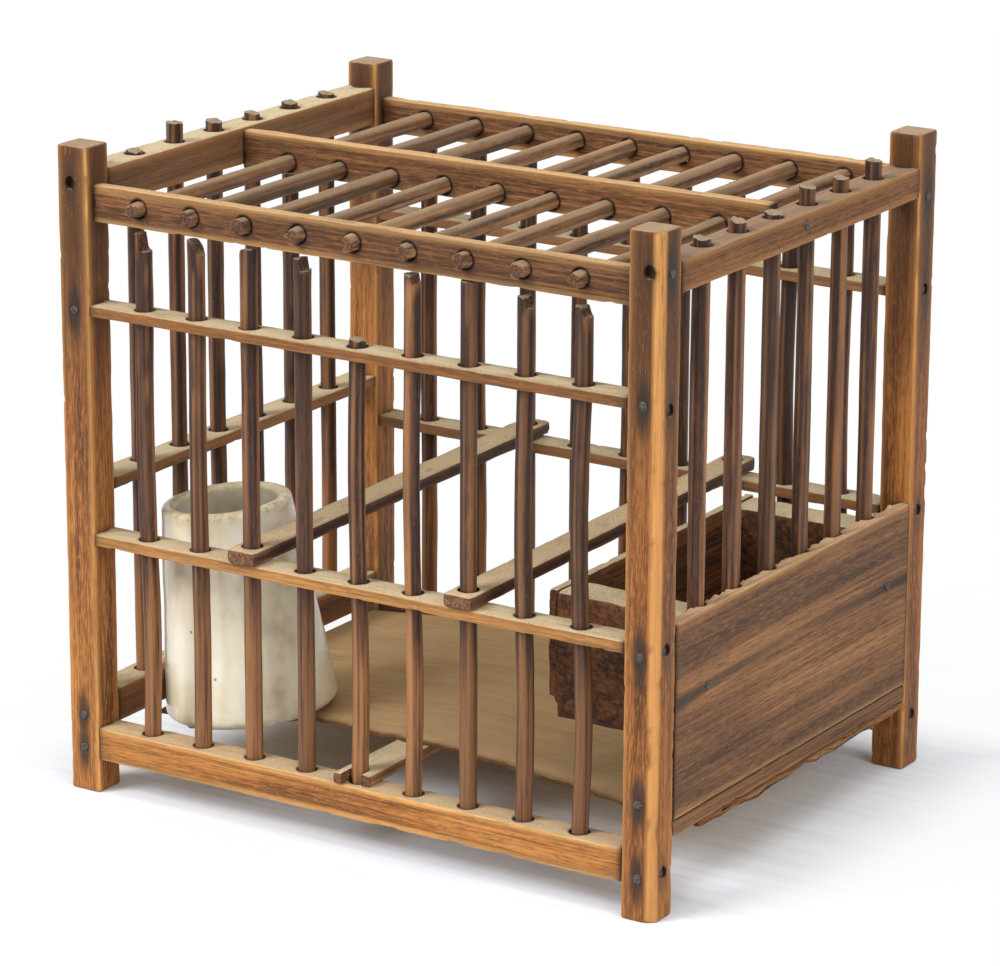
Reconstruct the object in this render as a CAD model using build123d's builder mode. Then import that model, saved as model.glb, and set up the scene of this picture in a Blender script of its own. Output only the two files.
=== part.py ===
from build123d import *
import os
from math import radians, sin, tan

# A small travelling cage for one songbird: four square posts, thin drilled rails, whittled
# round bars, two perches threaded on the bars, a seed box against the right end, a thin
# bottom board over one batten, and a loose stoneware water pot.
# All lengths are millimetres. X runs along the long front, Y to the rear, Z up.
# The origin is on the ground under the middle of the cage.

os.makedirs("parts", exist_ok=True)

# Overall sizes
cage_width = 205.8
cage_depth = 161.8
cage_height = 200.0

# Posts
post_side = 10.8
post_edge_chamfer = 0.9
worn_edge_chamfer = 3.0
post_end_chamfer = 0.6

# Bars, whittled to many flats, and their fits
bar_diameter = 5.4
bar_flat_count = 12
tight_fit = 0.03
sliding_fit = 0.08
front_bar_count = 9
front_bar_pitch = 18.85
side_bar_count = 6
side_bar_pitch = 20.1
socket_depth = 7.0
socket_end_gap = 0.3

# Rails along the front and the rear
rail_depth = 10.1
bottom_rail_low = 10.6
bottom_rail_high = 21.0
front_middle_rail_low = 78.6
front_middle_rail_high = 82.3
rear_middle_rail_low = 80.2
rear_middle_rail_high = 83.9
upper_rail_low = 149.2
upper_rail_high = 152.7
top_rail_drop = 11.4
top_rail_height = 11.2
top_rail_thickness = 4.5

# Rails along the two ends
side_rail_width = 10.5
left_bottom_rail_low = 19.8
left_bottom_rail_high = 30.6
left_middle_rail_low = 93.5
left_middle_rail_high = 97.3
left_top_rail_drop = 7.7
left_top_rail_height = 11.8
right_top_rail_drop = 10.0
right_top_rail_height = 9.2

# Roof
roof_bar_drop = 5.3
roof_bar_front_reach = 3.0
roof_bar_rear_reach = 1.5
roof_rail_drop = 8.5
roof_rail_height = 11.9
roof_rail_thickness = 4.5

# Where the hand-cut bars end, from left to right or from front to rear: how far under the
# top rail, how slanted, and how far over the side rails
front_bar_gaps = (3.4, 2.8, 1.0, 2.0, 22.8, 1.8, 0.3, 3.0, 3.2)
front_bar_slants = (38.0, -28.0, 6.0, 22.0, -12.0, 26.0, 0.0, 34.0, 30.0)
rear_bar_gap = 0.9
left_bar_reaches = (1.2, 6.1, 3.2, 2.2, 1.9, 1.5)
right_bar_reaches = (2.2, 3.4, 1.6, 5.3, 4.2, 5.6)
left_lift_bar = 1
right_lift_bars = (3, 4, 5)

# Perches
perch_width = 10.0
perch_thickness = 4.2
perch_overhang = 1.3
perch_seat_gap = 0.05
perch_hole_clearance = 0.35
perch_corner = 1.4
perch_bars = (2, 6)

# End board and the strip under it
board_thickness = 4.6
board_low = 28.0
board_high = 86.1
board_notch_depth = 12.0
strip_low = 23.0
strip_gap = 0.3

# Seed box
box_width = 51.4
box_front_setback = 25.9
box_rear_setback = 21.3
box_block_length = 13.3
box_block_low = 45.0
box_high = 83.2
box_side_thickness = 3.2
box_side_rise = 0.6
box_side_low = 47.5
box_bottom_low = 49.0
box_bottom_thickness = 3.0
box_chip_depth = 4.0
box_chip_length = 3.325
box_chip_slope = 1.1
box_sag = 1.0

# Bottom board, bent over the batten
batten_width = 11.3
batten_thickness = 3.5
batten_front_reach = 0.6
prong_step = 2.4
floor_thickness = 1.5
floor_seat_gap = 0.05
floor_left_setback = 9.5
floor_left_drop = 2.5
floor_right_reach = 1.3
floor_right_drop = 1.0
floor_rear_setback = 11.5
floor_front_setback = 31.9
floor_tear_depth = 9.5
floor_tear_step = 4.75
floor_nick_depth = 1.6
floor_worn_span = 34.3
floor_tear_shares = (0.03, 0.1, 0.18, 0.25)

# Water pot
pot_base_radius = 26.3
pot_shoulder_radius = 19.9
pot_height = 66.0
pot_shoulder_height = 61.5
pot_wall = 4.2
pot_mouth_radius = 15.6
pot_rim_crown = 0.5
pot_rim_bevel = 1.0
pot_foot_round = 1.6
pot_floor_thickness = 5.0
pot_left_setback = 38.3
pot_front_setback = 41.7
pot_seat_gap = 0.3
pot_lean_left = 6.2
pot_lean_front = 2.4

# Cut nails: a hammered head of a few flats on a square shank
nail_head_diameter = 2.75
nail_head_flat_count = 8
nail_head_thickness = 0.45
nail_shank_side = 1.2
nail_shank_length = 7.0
nail_fit = 0.02

# Heights of the nails, corner by corner
front_left_nail_heights = (13.9, 24.2, 150.6)
left_front_nail_heights = (26.0, 95.4)
front_right_nail_heights = (12.9, 35.1, 78.5, 150.8)
right_front_nail_heights = (14.1, 80.1, 149.2)
rear_left_nail_heights = (15.6, 82.0, 151.0)
left_rear_nail_heights = (24.6, 95.2)
rear_right_nail_heights = (15.2, 82.2, 151.2)
right_rear_nail_heights = (16.7, 82.6, 151.7)
box_nail_height = 63.4
box_nail_setback = 3.0
left_front_nail_drop = 13.4
right_front_nail_drop = 12.5
left_rear_nail_drop = 13.6
right_rear_nail_drop = 19.6
roof_nail_drop = 13.6

# Places worked out from the sizes above
half_width = cage_width / 2
half_depth = cage_depth / 2
post_x = half_width - post_side / 2
post_y = half_depth - post_side / 2
post_inner_x = half_width - post_side
post_inner_y = half_depth - post_side
bar_radius = bar_diameter / 2
front_rail_y = half_depth - rail_depth / 2
front_bar_x = [(i - (front_bar_count - 1) / 2) * front_bar_pitch for i in range(front_bar_count)]
side_bar_y = [(i - (side_bar_count - 1) / 2) * side_bar_pitch for i in range(side_bar_count)]
bar_foot = bottom_rail_high - socket_depth + socket_end_gap
left_bar_foot = left_bottom_rail_high - socket_depth + socket_end_gap
right_bar_foot = board_high - board_notch_depth + socket_end_gap
board_inner_x = half_width - board_thickness
middle_bar = (front_bar_count - 1) // 2
through_depth = cage_height
top_rail_high = cage_height - top_rail_drop
top_rail_low = top_rail_high - top_rail_height
roof_bar_height = top_rail_high - roof_bar_drop
left_top_rail_high = cage_height - left_top_rail_drop
right_top_rail_high = cage_height - right_top_rail_drop
roof_rail_high = cage_height - roof_rail_drop
box_left = half_width - box_width
box_front = box_front_setback - half_depth
box_rear = half_depth - box_rear_setback
floor_left_edge = floor_left_setback - half_width
floor_right_edge = half_width + floor_right_reach
floor_rear_edge = half_depth - floor_rear_setback
floor_front_edge = floor_front_setback - half_depth
floor_left_height = left_bottom_rail_low - floor_left_drop
floor_right_height = strip_low - floor_right_drop
pot_x = pot_left_setback - half_width
pot_y = pot_front_setback - half_depth


def rail_between(low, high):
    """A straight square-edged rail that fills the box between two corners."""
    with BuildPart() as rail:
        with BuildSketch(Plane.XY.offset(low[2])):
            with Locations(((low[0] + high[0]) / 2, (low[1] + high[1]) / 2)):
                Rectangle(high[0] - low[0], high[1] - low[1])
        extrude(amount=high[2] - low[2])
    return rail.part


def bar_holes(places, top, depth, radius):
    """Holes for upright bars: the bar's own section, with the room of its fit round it."""
    with BuildPart() as holes:
        with BuildSketch(Plane.XY.offset(top)):
            with Locations(*places):
                RegularPolygon(radius, bar_flat_count)
        extrude(amount=-depth)
    return holes.part


def roof_bar_holes():
    """The row of holes that the roof bars pass through, from the front to the rear."""
    with BuildPart() as holes:
        with BuildSketch(Plane.XZ):
            with Locations(*roof_places):
                RegularPolygon(tight_radius, bar_flat_count)
        extrude(amount=half_depth, both=True)
    return holes.part


def upright_bar(x, y, foot, top, slant=0.0):
    """A whittled bar whose top is cut off on a slant, in degrees about the cage's depth."""
    with BuildPart() as bar:
        with BuildSketch(Plane.XY.offset(foot)):
            with Locations((x, y)):
                RegularPolygon(bar_radius, bar_flat_count)
        extrude(amount=top + bar_diameter - foot)
        tip = Plane((x, y, top)).rotated((0, slant, 0))
        split(bisect_by=tip, keep=Keep.BOTTOM)
    return bar.part


def nail(place, outward):
    """One cut nail: a flat head on the wood and a shank driven in behind it."""
    with BuildPart() as driven:
        with BuildSketch(Plane(origin=place, z_dir=outward)):
            RegularPolygon(nail_head_diameter / 2, nail_head_flat_count)
        extrude(amount=nail_head_thickness)
        with BuildSketch(Plane(origin=place, z_dir=outward)):
            Rectangle(nail_shank_side, nail_shank_side)
        extrude(amount=-nail_shank_length)
    return driven.part


def nail_hole(place, outward):
    """The hole that a nail's shank fills, with a little room round it."""
    with BuildPart() as hole:
        with BuildSketch(Plane(origin=place, z_dir=outward)):
            Rectangle(nail_shank_side + 2 * nail_fit, nail_shank_side + 2 * nail_fit)
        extrude(amount=-nail_shank_length - nail_fit)
    return hole.part


def square_post(x, y, outer_chamfer):
    """One corner post, its outer vertical edge worn back by its own amount."""
    outward = Axis((0, 0, 0), (x, y, 0))
    with BuildPart() as post:
        with BuildSketch() as section:
            with Locations((x, y)):
                Rectangle(post_side, post_side)
            chamfer(section.vertices().sort_by(outward)[-1], outer_chamfer)
            chamfer(section.vertices().sort_by(outward)[:3], post_edge_chamfer)
        extrude(amount=cage_height)
        chamfer(post.faces().sort_by(Axis.Z)[-1].edges(), post_end_chamfer)
        chamfer(post.faces().sort_by(Axis.Z)[0].edges(), post_end_chamfer)
    return post.part


# Nails: (place, outward direction) on the faces of the posts and the right end
front_face = (0, -1, 0)
rear_face = (0, 1, 0)
left_face = (-1, 0, 0)
right_face = (1, 0, 0)
front_left_nails = [((-post_x, -half_depth, z), front_face) for z in front_left_nail_heights]
front_left_nails += [((-half_width, -post_y, z), left_face) for z in left_front_nail_heights]
front_left_nails += [((-half_width, -post_y, cage_height - left_front_nail_drop), left_face)]
front_right_nails = [((post_x, -half_depth, z), front_face) for z in front_right_nail_heights]
front_right_nails += [((half_width, -post_y, z), right_face) for z in right_front_nail_heights]
front_right_nails += [((half_width, -post_y, cage_height - right_front_nail_drop), right_face)]
rear_left_nails = [((-post_x, half_depth, z), rear_face) for z in rear_left_nail_heights]
rear_left_nails += [((-half_width, post_y, z), left_face) for z in left_rear_nail_heights]
rear_left_nails += [((-half_width, post_y, cage_height - left_rear_nail_drop), left_face)]
rear_right_nails = [((post_x, half_depth, z), rear_face) for z in rear_right_nail_heights]
rear_right_nails += [((half_width, post_y, z), right_face) for z in right_rear_nail_heights]
rear_right_nails += [((half_width, post_y, cage_height - right_rear_nail_drop), right_face)]
box_nail_y = (box_front + box_nail_setback, box_rear - box_nail_setback)
board_nails = [((half_width, y, box_nail_height), right_face) for y in box_nail_y]
roof_nail = ((half_width, 0, cage_height - roof_nail_drop), right_face)

# Rails along the front and the rear
tight_radius = bar_radius + tight_fit
sliding_radius = bar_radius + sliding_fit
front_places = [(x, -front_rail_y) for x in front_bar_x]
rear_places = [(x, front_rail_y) for x in front_bar_x]
roof_places = [(x, roof_bar_height) for x in front_bar_x]

with BuildPart() as front_bottom_rail:
    add(rail_between(
        (-post_inner_x, -half_depth, bottom_rail_low),
        (post_inner_x, -half_depth + rail_depth, bottom_rail_high)))
    add(bar_holes(front_places, bottom_rail_high, socket_depth, tight_radius), mode=Mode.SUBTRACT)
front_bottom_rail.part.label = "front_bottom_rail"
export_step(front_bottom_rail.part, "parts/front_bottom_rail.step")

with BuildPart() as front_middle_rail:
    add(rail_between(
        (-post_inner_x, -half_depth, front_middle_rail_low),
        (post_inner_x, -half_depth + rail_depth, front_middle_rail_high)))
    add(bar_holes(front_places, front_middle_rail_high, through_depth, tight_radius), mode=Mode.SUBTRACT)
front_middle_rail.part.label = "front_middle_rail"
export_step(front_middle_rail.part, "parts/front_middle_rail.step")

with BuildPart() as front_upper_rail:
    add(rail_between(
        (-post_inner_x, -half_depth, upper_rail_low),
        (post_inner_x, -half_depth + rail_depth, upper_rail_high)))
    add(bar_holes(front_places, upper_rail_high, through_depth, tight_radius), mode=Mode.SUBTRACT)
front_upper_rail.part.label = "front_upper_rail"
export_step(front_upper_rail.part, "parts/front_upper_rail.step")

with BuildPart() as front_top_rail:
    add(rail_between(
        (-post_inner_x, -front_rail_y - top_rail_thickness / 2, top_rail_low),
        (post_inner_x, -front_rail_y + top_rail_thickness / 2, top_rail_high)))
    add(roof_bar_holes(), mode=Mode.SUBTRACT)
front_top_rail.part.label = "front_top_rail"
export_step(front_top_rail.part, "parts/front_top_rail.step")

with BuildPart() as rear_bottom_rail:
    add(rail_between(
        (-post_inner_x, half_depth - rail_depth, bottom_rail_low),
        (post_inner_x, half_depth, bottom_rail_high)))
    add(bar_holes(rear_places, bottom_rail_high, socket_depth, tight_radius), mode=Mode.SUBTRACT)
rear_bottom_rail.part.label = "rear_bottom_rail"
export_step(rear_bottom_rail.part, "parts/rear_bottom_rail.step")

with BuildPart() as rear_middle_rail:
    add(rail_between(
        (-post_inner_x, half_depth - rail_depth, rear_middle_rail_low),
        (post_inner_x, half_depth, rear_middle_rail_high)))
    add(bar_holes(rear_places, rear_middle_rail_high, through_depth, tight_radius), mode=Mode.SUBTRACT)
rear_middle_rail.part.label = "rear_middle_rail"
export_step(rear_middle_rail.part, "parts/rear_middle_rail.step")

with BuildPart() as rear_upper_rail:
    add(rail_between(
        (-post_inner_x, half_depth - rail_depth, upper_rail_low),
        (post_inner_x, half_depth, upper_rail_high)))
    add(bar_holes(rear_places, upper_rail_high, through_depth, tight_radius), mode=Mode.SUBTRACT)
rear_upper_rail.part.label = "rear_upper_rail"
export_step(rear_upper_rail.part, "parts/rear_upper_rail.step")

with BuildPart() as rear_top_rail:
    add(rail_between(
        (-post_inner_x, front_rail_y - top_rail_thickness / 2, top_rail_low),
        (post_inner_x, front_rail_y + top_rail_thickness / 2, top_rail_high)))
    add(roof_bar_holes(), mode=Mode.SUBTRACT)
rear_top_rail.part.label = "rear_top_rail"
export_step(rear_top_rail.part, "parts/rear_top_rail.step")

# The roof rail on edge that the roof bars pass through half way back
roof_rail_reach = half_width - side_rail_width

with BuildPart() as roof_middle_rail:
    add(rail_between(
        (-roof_rail_reach, -roof_rail_thickness / 2, roof_rail_high - roof_rail_height),
        (roof_rail_reach, roof_rail_thickness / 2, roof_rail_high)))
    add(roof_bar_holes(), mode=Mode.SUBTRACT)
roof_middle_rail.part.label = "roof_middle_rail"
export_step(roof_middle_rail.part, "parts/roof_middle_rail.step")

# Rails along the two ends. A bar that lifts out runs in a slightly wider hole.
left_tight = [(-post_x, y) for i, y in enumerate(side_bar_y) if i != left_lift_bar]
left_lift = [(-post_x, side_bar_y[left_lift_bar])]
right_tight = [(post_x, y) for i, y in enumerate(side_bar_y) if i not in right_lift_bars]
right_lift = [(post_x, side_bar_y[i]) for i in right_lift_bars]

with BuildPart() as left_bottom_rail:
    add(rail_between(
        (-half_width, -post_inner_y, left_bottom_rail_low),
        (-half_width + side_rail_width, post_inner_y, left_bottom_rail_high)))
    add(bar_holes(left_tight, left_bottom_rail_high, socket_depth, tight_radius),
        mode=Mode.SUBTRACT)
    add(bar_holes(left_lift, left_bottom_rail_high, socket_depth, sliding_radius),
        mode=Mode.SUBTRACT)
left_bottom_rail.part.label = "left_bottom_rail"
export_step(left_bottom_rail.part, "parts/left_bottom_rail.step")

with BuildPart() as left_middle_rail:
    add(rail_between(
        (-half_width, -post_inner_y, left_middle_rail_low),
        (-half_width + side_rail_width, post_inner_y, left_middle_rail_high)))
    add(bar_holes(left_tight, left_middle_rail_high, through_depth, tight_radius),
        mode=Mode.SUBTRACT)
    add(bar_holes(left_lift, left_middle_rail_high, through_depth, sliding_radius),
        mode=Mode.SUBTRACT)
left_middle_rail.part.label = "left_middle_rail"
export_step(left_middle_rail.part, "parts/left_middle_rail.step")

with BuildPart() as left_top_rail:
    add(rail_between(
        (-half_width, -post_inner_y, left_top_rail_high - left_top_rail_height),
        (-half_width + side_rail_width, post_inner_y, left_top_rail_high)))
    add(bar_holes(left_tight, left_top_rail_high, through_depth, tight_radius),
        mode=Mode.SUBTRACT)
    add(bar_holes(left_lift, left_top_rail_high, through_depth, sliding_radius),
        mode=Mode.SUBTRACT)
left_top_rail.part.label = "left_top_rail"
export_step(left_top_rail.part, "parts/left_top_rail.step")

with BuildPart() as right_top_rail:
    add(rail_between(
        (half_width - side_rail_width, -post_inner_y,
         right_top_rail_high - right_top_rail_height),
        (half_width, post_inner_y, right_top_rail_high)))
    add(bar_holes(right_tight, right_top_rail_high, through_depth, tight_radius),
        mode=Mode.SUBTRACT)
    add(bar_holes(right_lift, right_top_rail_high, through_depth, sliding_radius),
        mode=Mode.SUBTRACT)
    add(nail_hole(*roof_nail), mode=Mode.SUBTRACT)
right_top_rail.part.label = "right_top_rail"
export_step(right_top_rail.part, "parts/right_top_rail.step")

# Posts
with BuildPart() as post_front_left:
    add(square_post(-post_x, -post_y, post_edge_chamfer))
    add([nail_hole(*spot) for spot in front_left_nails], mode=Mode.SUBTRACT)
post_front_left.part.label = "post_front_left"
export_step(post_front_left.part, "parts/post_front_left.step")

with BuildPart() as post_front_right:
    add(square_post(post_x, -post_y, worn_edge_chamfer))
    add([nail_hole(*spot) for spot in front_right_nails], mode=Mode.SUBTRACT)
post_front_right.part.label = "post_front_right"
export_step(post_front_right.part, "parts/post_front_right.step")

with BuildPart() as post_rear_left:
    add(square_post(-post_x, post_y, post_edge_chamfer))
    add([nail_hole(*spot) for spot in rear_left_nails], mode=Mode.SUBTRACT)
post_rear_left.part.label = "post_rear_left"
export_step(post_rear_left.part, "parts/post_rear_left.step")

with BuildPart() as post_rear_right:
    add(square_post(post_x, post_y, post_edge_chamfer))
    add([nail_hole(*spot) for spot in rear_right_nails], mode=Mode.SUBTRACT)
post_rear_right.part.label = "post_rear_right"
export_step(post_rear_right.part, "parts/post_rear_right.step")

# Front bars, one node each, because each tip was cut by hand and one is broken short
for number, place in enumerate(front_places):
    with BuildPart() as front_bar:
        tip_height = top_rail_low - front_bar_gaps[number]
        add(upright_bar(*place, bar_foot, tip_height, front_bar_slants[number]))
    front_bar.part.label = f"front_bar_{number + 1}"
    export_step(front_bar.part, f"parts/front_bar_{number + 1}.step")

with BuildPart() as rear_bars:
    for x, y in rear_places:
        add(upright_bar(x, y, bar_foot, top_rail_low - rear_bar_gap))
rear_bars.part.label = "rear_bars"
export_step(rear_bars.part, "parts/rear_bars.step")

roof_bar_front = front_rail_y + top_rail_thickness / 2 + roof_bar_front_reach
roof_bar_rear = front_rail_y + top_rail_thickness / 2 + roof_bar_rear_reach

with BuildPart() as roof_bars:
    with BuildSketch(Plane.XZ.offset(roof_bar_front)):
        with Locations(*roof_places):
            RegularPolygon(bar_radius, bar_flat_count)
    extrude(amount=-roof_bar_front - roof_bar_rear)
roof_bars.part.label = "roof_bars"
export_step(roof_bars.part, "parts/roof_bars.step")

# Bars of the two ends: the tight ones, then the ones that lift
with BuildPart() as left_bars:
    for i, y in enumerate(side_bar_y):
        if i != left_lift_bar:
            add(upright_bar(-post_x, y, left_bar_foot, left_top_rail_high + left_bar_reaches[i]))
left_bars.part.label = "left_bars"
export_step(left_bars.part, "parts/left_bars.step")

with BuildPart() as left_lifting_bar:
    add(upright_bar(
        *left_lift[0], left_bar_foot, left_top_rail_high + left_bar_reaches[left_lift_bar]))
left_lifting_bar.part.label = "left_lifting_bar"
export_step(left_lifting_bar.part, "parts/left_lifting_bar.step")

with BuildPart() as right_bars:
    for i, y in enumerate(side_bar_y):
        if i not in right_lift_bars:
            add(upright_bar(post_x, y, right_bar_foot, right_top_rail_high + right_bar_reaches[i]))
right_bars.part.label = "right_bars"
export_step(right_bars.part, "parts/right_bars.step")

for number, i in enumerate(right_lift_bars):
    with BuildPart() as right_lifting_bar:
        add(upright_bar(
            post_x, side_bar_y[i], right_bar_foot, right_top_rail_high + right_bar_reaches[i]))
    right_lifting_bar.part.label = f"right_lifting_bar_{number + 1}"
    export_step(right_lifting_bar.part, f"parts/right_lifting_bar_{number + 1}.step")

# Perches: flat laths that slope with the two middle rails they lie on
perch_front = -half_depth - perch_overhang
perch_rear = half_depth + perch_overhang
perch_rise = rear_middle_rail_high - front_middle_rail_high
perch_slope = perch_rise / (2 * half_depth - rail_depth)
perch_front_seat = front_middle_rail_high + perch_seat_gap - perch_overhang * perch_slope
perch_rear_seat = perch_front_seat + (perch_rear - perch_front) * perch_slope
perch_hole_radius = bar_radius + perch_hole_clearance

for side, bar in zip(("left", "right"), perch_bars):
    with BuildPart() as perch:
        with BuildSketch(Plane.YZ.offset(front_bar_x[bar] - perch_width / 2)):
            with BuildLine():
                Polyline(
                    (perch_front, perch_front_seat),
                    (perch_rear, perch_rear_seat),
                    (perch_rear, perch_rear_seat + perch_thickness),
                    (perch_front, perch_front_seat + perch_thickness),
                    close=True)
            make_face()
        extrude(amount=perch_width)
        chamfer(perch.edges().filter_by(Axis.Z), perch_corner)
        threaded = [front_places[bar], rear_places[bar]]
        add(bar_holes(threaded, cage_height, cage_height, perch_hole_radius), mode=Mode.SUBTRACT)
    perch.part.label = f"perch_{side}"
    export_step(perch.part, f"parts/perch_{side}.step")

# End board of the right end, notched on its inner face where the bars stand in it
with BuildPart() as end_board:
    add(rail_between(
        (board_inner_x, -post_inner_y, board_low), (half_width, post_inner_y, board_high)))
    add(bar_holes(right_tight, board_high, board_notch_depth, tight_radius), mode=Mode.SUBTRACT)
    add(bar_holes(right_lift, board_high, board_notch_depth, sliding_radius), mode=Mode.SUBTRACT)
    add([nail_hole(*spot) for spot in board_nails], mode=Mode.SUBTRACT)
end_board.part.label = "end_board"
export_step(end_board.part, "parts/end_board.step")

with BuildPart() as end_strip:
    add(rail_between(
        (board_inner_x, -post_inner_y, strip_low),
        (half_width, post_inner_y, board_low - strip_gap)))
end_strip.part.label = "end_strip"
export_step(end_strip.part, "parts/end_strip.step")

# Seed box: two end blocks, one side board with a chipped lower edge, and a bottom
box_inner_left = box_left + box_side_thickness
box_bar_depth = box_high - right_bar_foot + socket_end_gap
block_corners = {
    "front": ((box_inner_left, box_front, box_block_low),
              (board_inner_x, box_front + box_block_length, box_high)),
    "rear": ((box_inner_left, box_rear - box_block_length, box_block_low),
             (board_inner_x, box_rear, box_high)),
}
for end, corners in block_corners.items():
    with BuildPart() as seed_box_block:
        add(rail_between(*corners))
        add(bar_holes(right_tight + right_lift, box_high, box_bar_depth, sliding_radius),
            mode=Mode.SUBTRACT)
        add([nail_hole(*spot) for spot in board_nails], mode=Mode.SUBTRACT)
    seed_box_block.part.label = f"seed_box_{end}_block"
    export_step(seed_box_block.part, f"parts/seed_box_{end}_block.step")

with BuildPart() as seed_box_side:
    with BuildSketch(Plane.YZ.offset(box_left)):
        with BuildLine():
            Polyline(
                (box_front, box_high + box_side_rise),
                (box_front, box_side_low + box_chip_depth),
                (box_front + box_chip_length, box_side_low + box_chip_depth),
                (box_front + box_chip_length + box_chip_slope, box_side_low),
                (box_front + box_block_length, box_side_low - box_sag),
                ((box_front + box_rear) / 2, box_side_low + box_sag),
                (box_rear, box_side_low),
                (box_rear, box_high + box_side_rise),
                close=True)
        make_face()
    extrude(amount=box_side_thickness)
seed_box_side.part.label = "seed_box_side"
export_step(seed_box_side.part, "parts/seed_box_side.step")

with BuildPart() as seed_box_bottom:
    add(rail_between(
        (box_inner_left, box_front + box_block_length, box_bottom_low),
        (board_inner_x, box_rear - box_block_length, box_bottom_low + box_bottom_thickness)))
seed_box_bottom.part.label = "seed_box_bottom"
export_step(seed_box_bottom.part, "parts/seed_box_bottom.step")

# Batten on the two bottom rails, with a slot at each end that takes in the middle bar
batten_top = bottom_rail_high + batten_thickness
prong_x = front_bar_x[middle_bar]

with BuildPart() as floor_batten:
    add(rail_between(
        (prong_x - batten_width / 2, -half_depth - batten_front_reach, bottom_rail_high),
        (prong_x + batten_width / 2, half_depth, batten_top)))
    with BuildSketch(Plane.XY.offset(bottom_rail_high)):
        with Locations((prong_x, -half_depth), (prong_x, half_depth)):
            SlotCenterToCenter(2 * (half_depth - front_rail_y), 2 * tight_radius, rotation=90)
    extrude(amount=batten_thickness, mode=Mode.SUBTRACT)
    with BuildSketch(Plane.XY.offset(bottom_rail_high)):
        with Locations((prong_x + batten_width / 2, -half_depth - batten_front_reach)):
            Rectangle(batten_width, 2 * prong_step)
    extrude(amount=batten_thickness, mode=Mode.SUBTRACT)
floor_batten.part.label = "floor_batten"
export_step(floor_batten.part, "parts/floor_batten.step")

# Thin bottom board: bent over the batten, broken away along its front
floor_ridge = batten_top + floor_seat_gap + floor_thickness
floor_bend = batten_width / 2
floor_span_x = floor_right_edge - floor_left_edge
tear_x = [floor_left_edge + floor_span_x * share for share in floor_tear_shares]

with BuildPart() as floor_board:
    with BuildSketch(Plane.XZ):
        with BuildLine():
            Polyline(
                (floor_left_edge, floor_left_height),
                (prong_x - floor_bend, floor_ridge),
                (prong_x + floor_bend, floor_ridge),
                (floor_right_edge, floor_right_height),
                (floor_right_edge, floor_right_height - floor_thickness),
                (prong_x + floor_bend, floor_ridge - floor_thickness),
                (prong_x - floor_bend, floor_ridge - floor_thickness),
                (floor_left_edge, floor_left_height - floor_thickness),
                close=True)
        make_face()
    extrude(amount=half_depth, both=True)
    with BuildSketch():
        with BuildLine():
            Polyline(
                (floor_left_edge, floor_front_edge),
                (tear_x[0], floor_front_edge),
                (tear_x[1], floor_front_edge - floor_tear_depth),
                (tear_x[2], floor_front_edge - floor_tear_step),
                (tear_x[3], floor_front_edge + floor_tear_depth),
                (prong_x - floor_bend, floor_front_edge),
                (prong_x + batten_width, floor_front_edge + floor_nick_depth),
                (prong_x + floor_worn_span, floor_front_edge),
                (post_inner_x, floor_front_edge - floor_tear_step),
                (floor_right_edge, floor_front_edge - floor_tear_step),
                (floor_right_edge - floor_thickness, 0),
                (floor_right_edge, -floor_front_edge),
                (floor_right_edge - floor_thickness, post_inner_y - strip_gap),
                (post_inner_x, floor_rear_edge),
                (floor_left_edge, floor_rear_edge),
                close=True)
        make_face()
    extrude(amount=cage_height, mode=Mode.INTERSECT)
floor_board.part.label = "floor_board"
export_step(floor_board.part, "parts/floor_board.step")

# Water pot: a stoneware cone with a bevelled rim, hollow, leaning with the floor under it
floor_slope = (floor_ridge - floor_left_height) / (prong_x - floor_bend - floor_left_edge)
floor_under_pot = floor_left_height + (pot_x - floor_left_edge) * floor_slope
pot_low_edge = pot_base_radius * (
    sin(radians(pot_lean_front)) + abs(tan(radians(pot_lean_left)) - floor_slope))
pot_rest_height = floor_under_pot + pot_low_edge + pot_seat_gap
pot_lean = Plane((pot_x, pot_y, pot_rest_height)).rotated(
    (pot_lean_front, -pot_lean_left, 0))

with BuildPart() as water_pot:
    with BuildSketch(Plane(pot_lean.origin, x_dir=pot_lean.x_dir, z_dir=-pot_lean.y_dir)):
        with BuildLine():
            Polyline(
                (0, 0),
                (pot_base_radius - pot_foot_round, 0),
                (pot_base_radius, pot_foot_round),
                (pot_shoulder_radius, pot_shoulder_height),
                (pot_shoulder_radius, pot_height - pot_rim_crown),
                (pot_shoulder_radius - pot_rim_bevel, pot_height),
                (pot_mouth_radius + pot_rim_bevel, pot_height),
                (pot_mouth_radius, pot_height - pot_rim_crown),
                (pot_mouth_radius, pot_shoulder_height),
                (pot_base_radius - pot_wall, pot_floor_thickness),
                (0, pot_floor_thickness),
                close=True)
        make_face()
    revolve(axis=Axis(pot_lean.origin, pot_lean.z_dir))
water_pot.part.label = "water_pot"
export_step(water_pot.part, "parts/water_pot.step")

# Nails: those of the posts and roof rail, and the two that hold the seed box
with BuildPart() as frame_nails:
    for spot in front_left_nails + front_right_nails + rear_left_nails + rear_right_nails:
        add(nail(*spot))
    add(nail(*roof_nail))
frame_nails.part.label = "frame_nails"
export_step(frame_nails.part, "parts/frame_nails.step")

with BuildPart() as board_nail_pair:
    for spot in board_nails:
        add(nail(*spot))
board_nail_pair.part.label = "board_nails"
export_step(board_nail_pair.part, "parts/board_nails.step")
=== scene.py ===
import logging
import math
from dataclasses import dataclass, field
from enum import Enum
from typing import Any

import bpy
import numpy as np
from mathutils import Matrix, Vector


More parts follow.
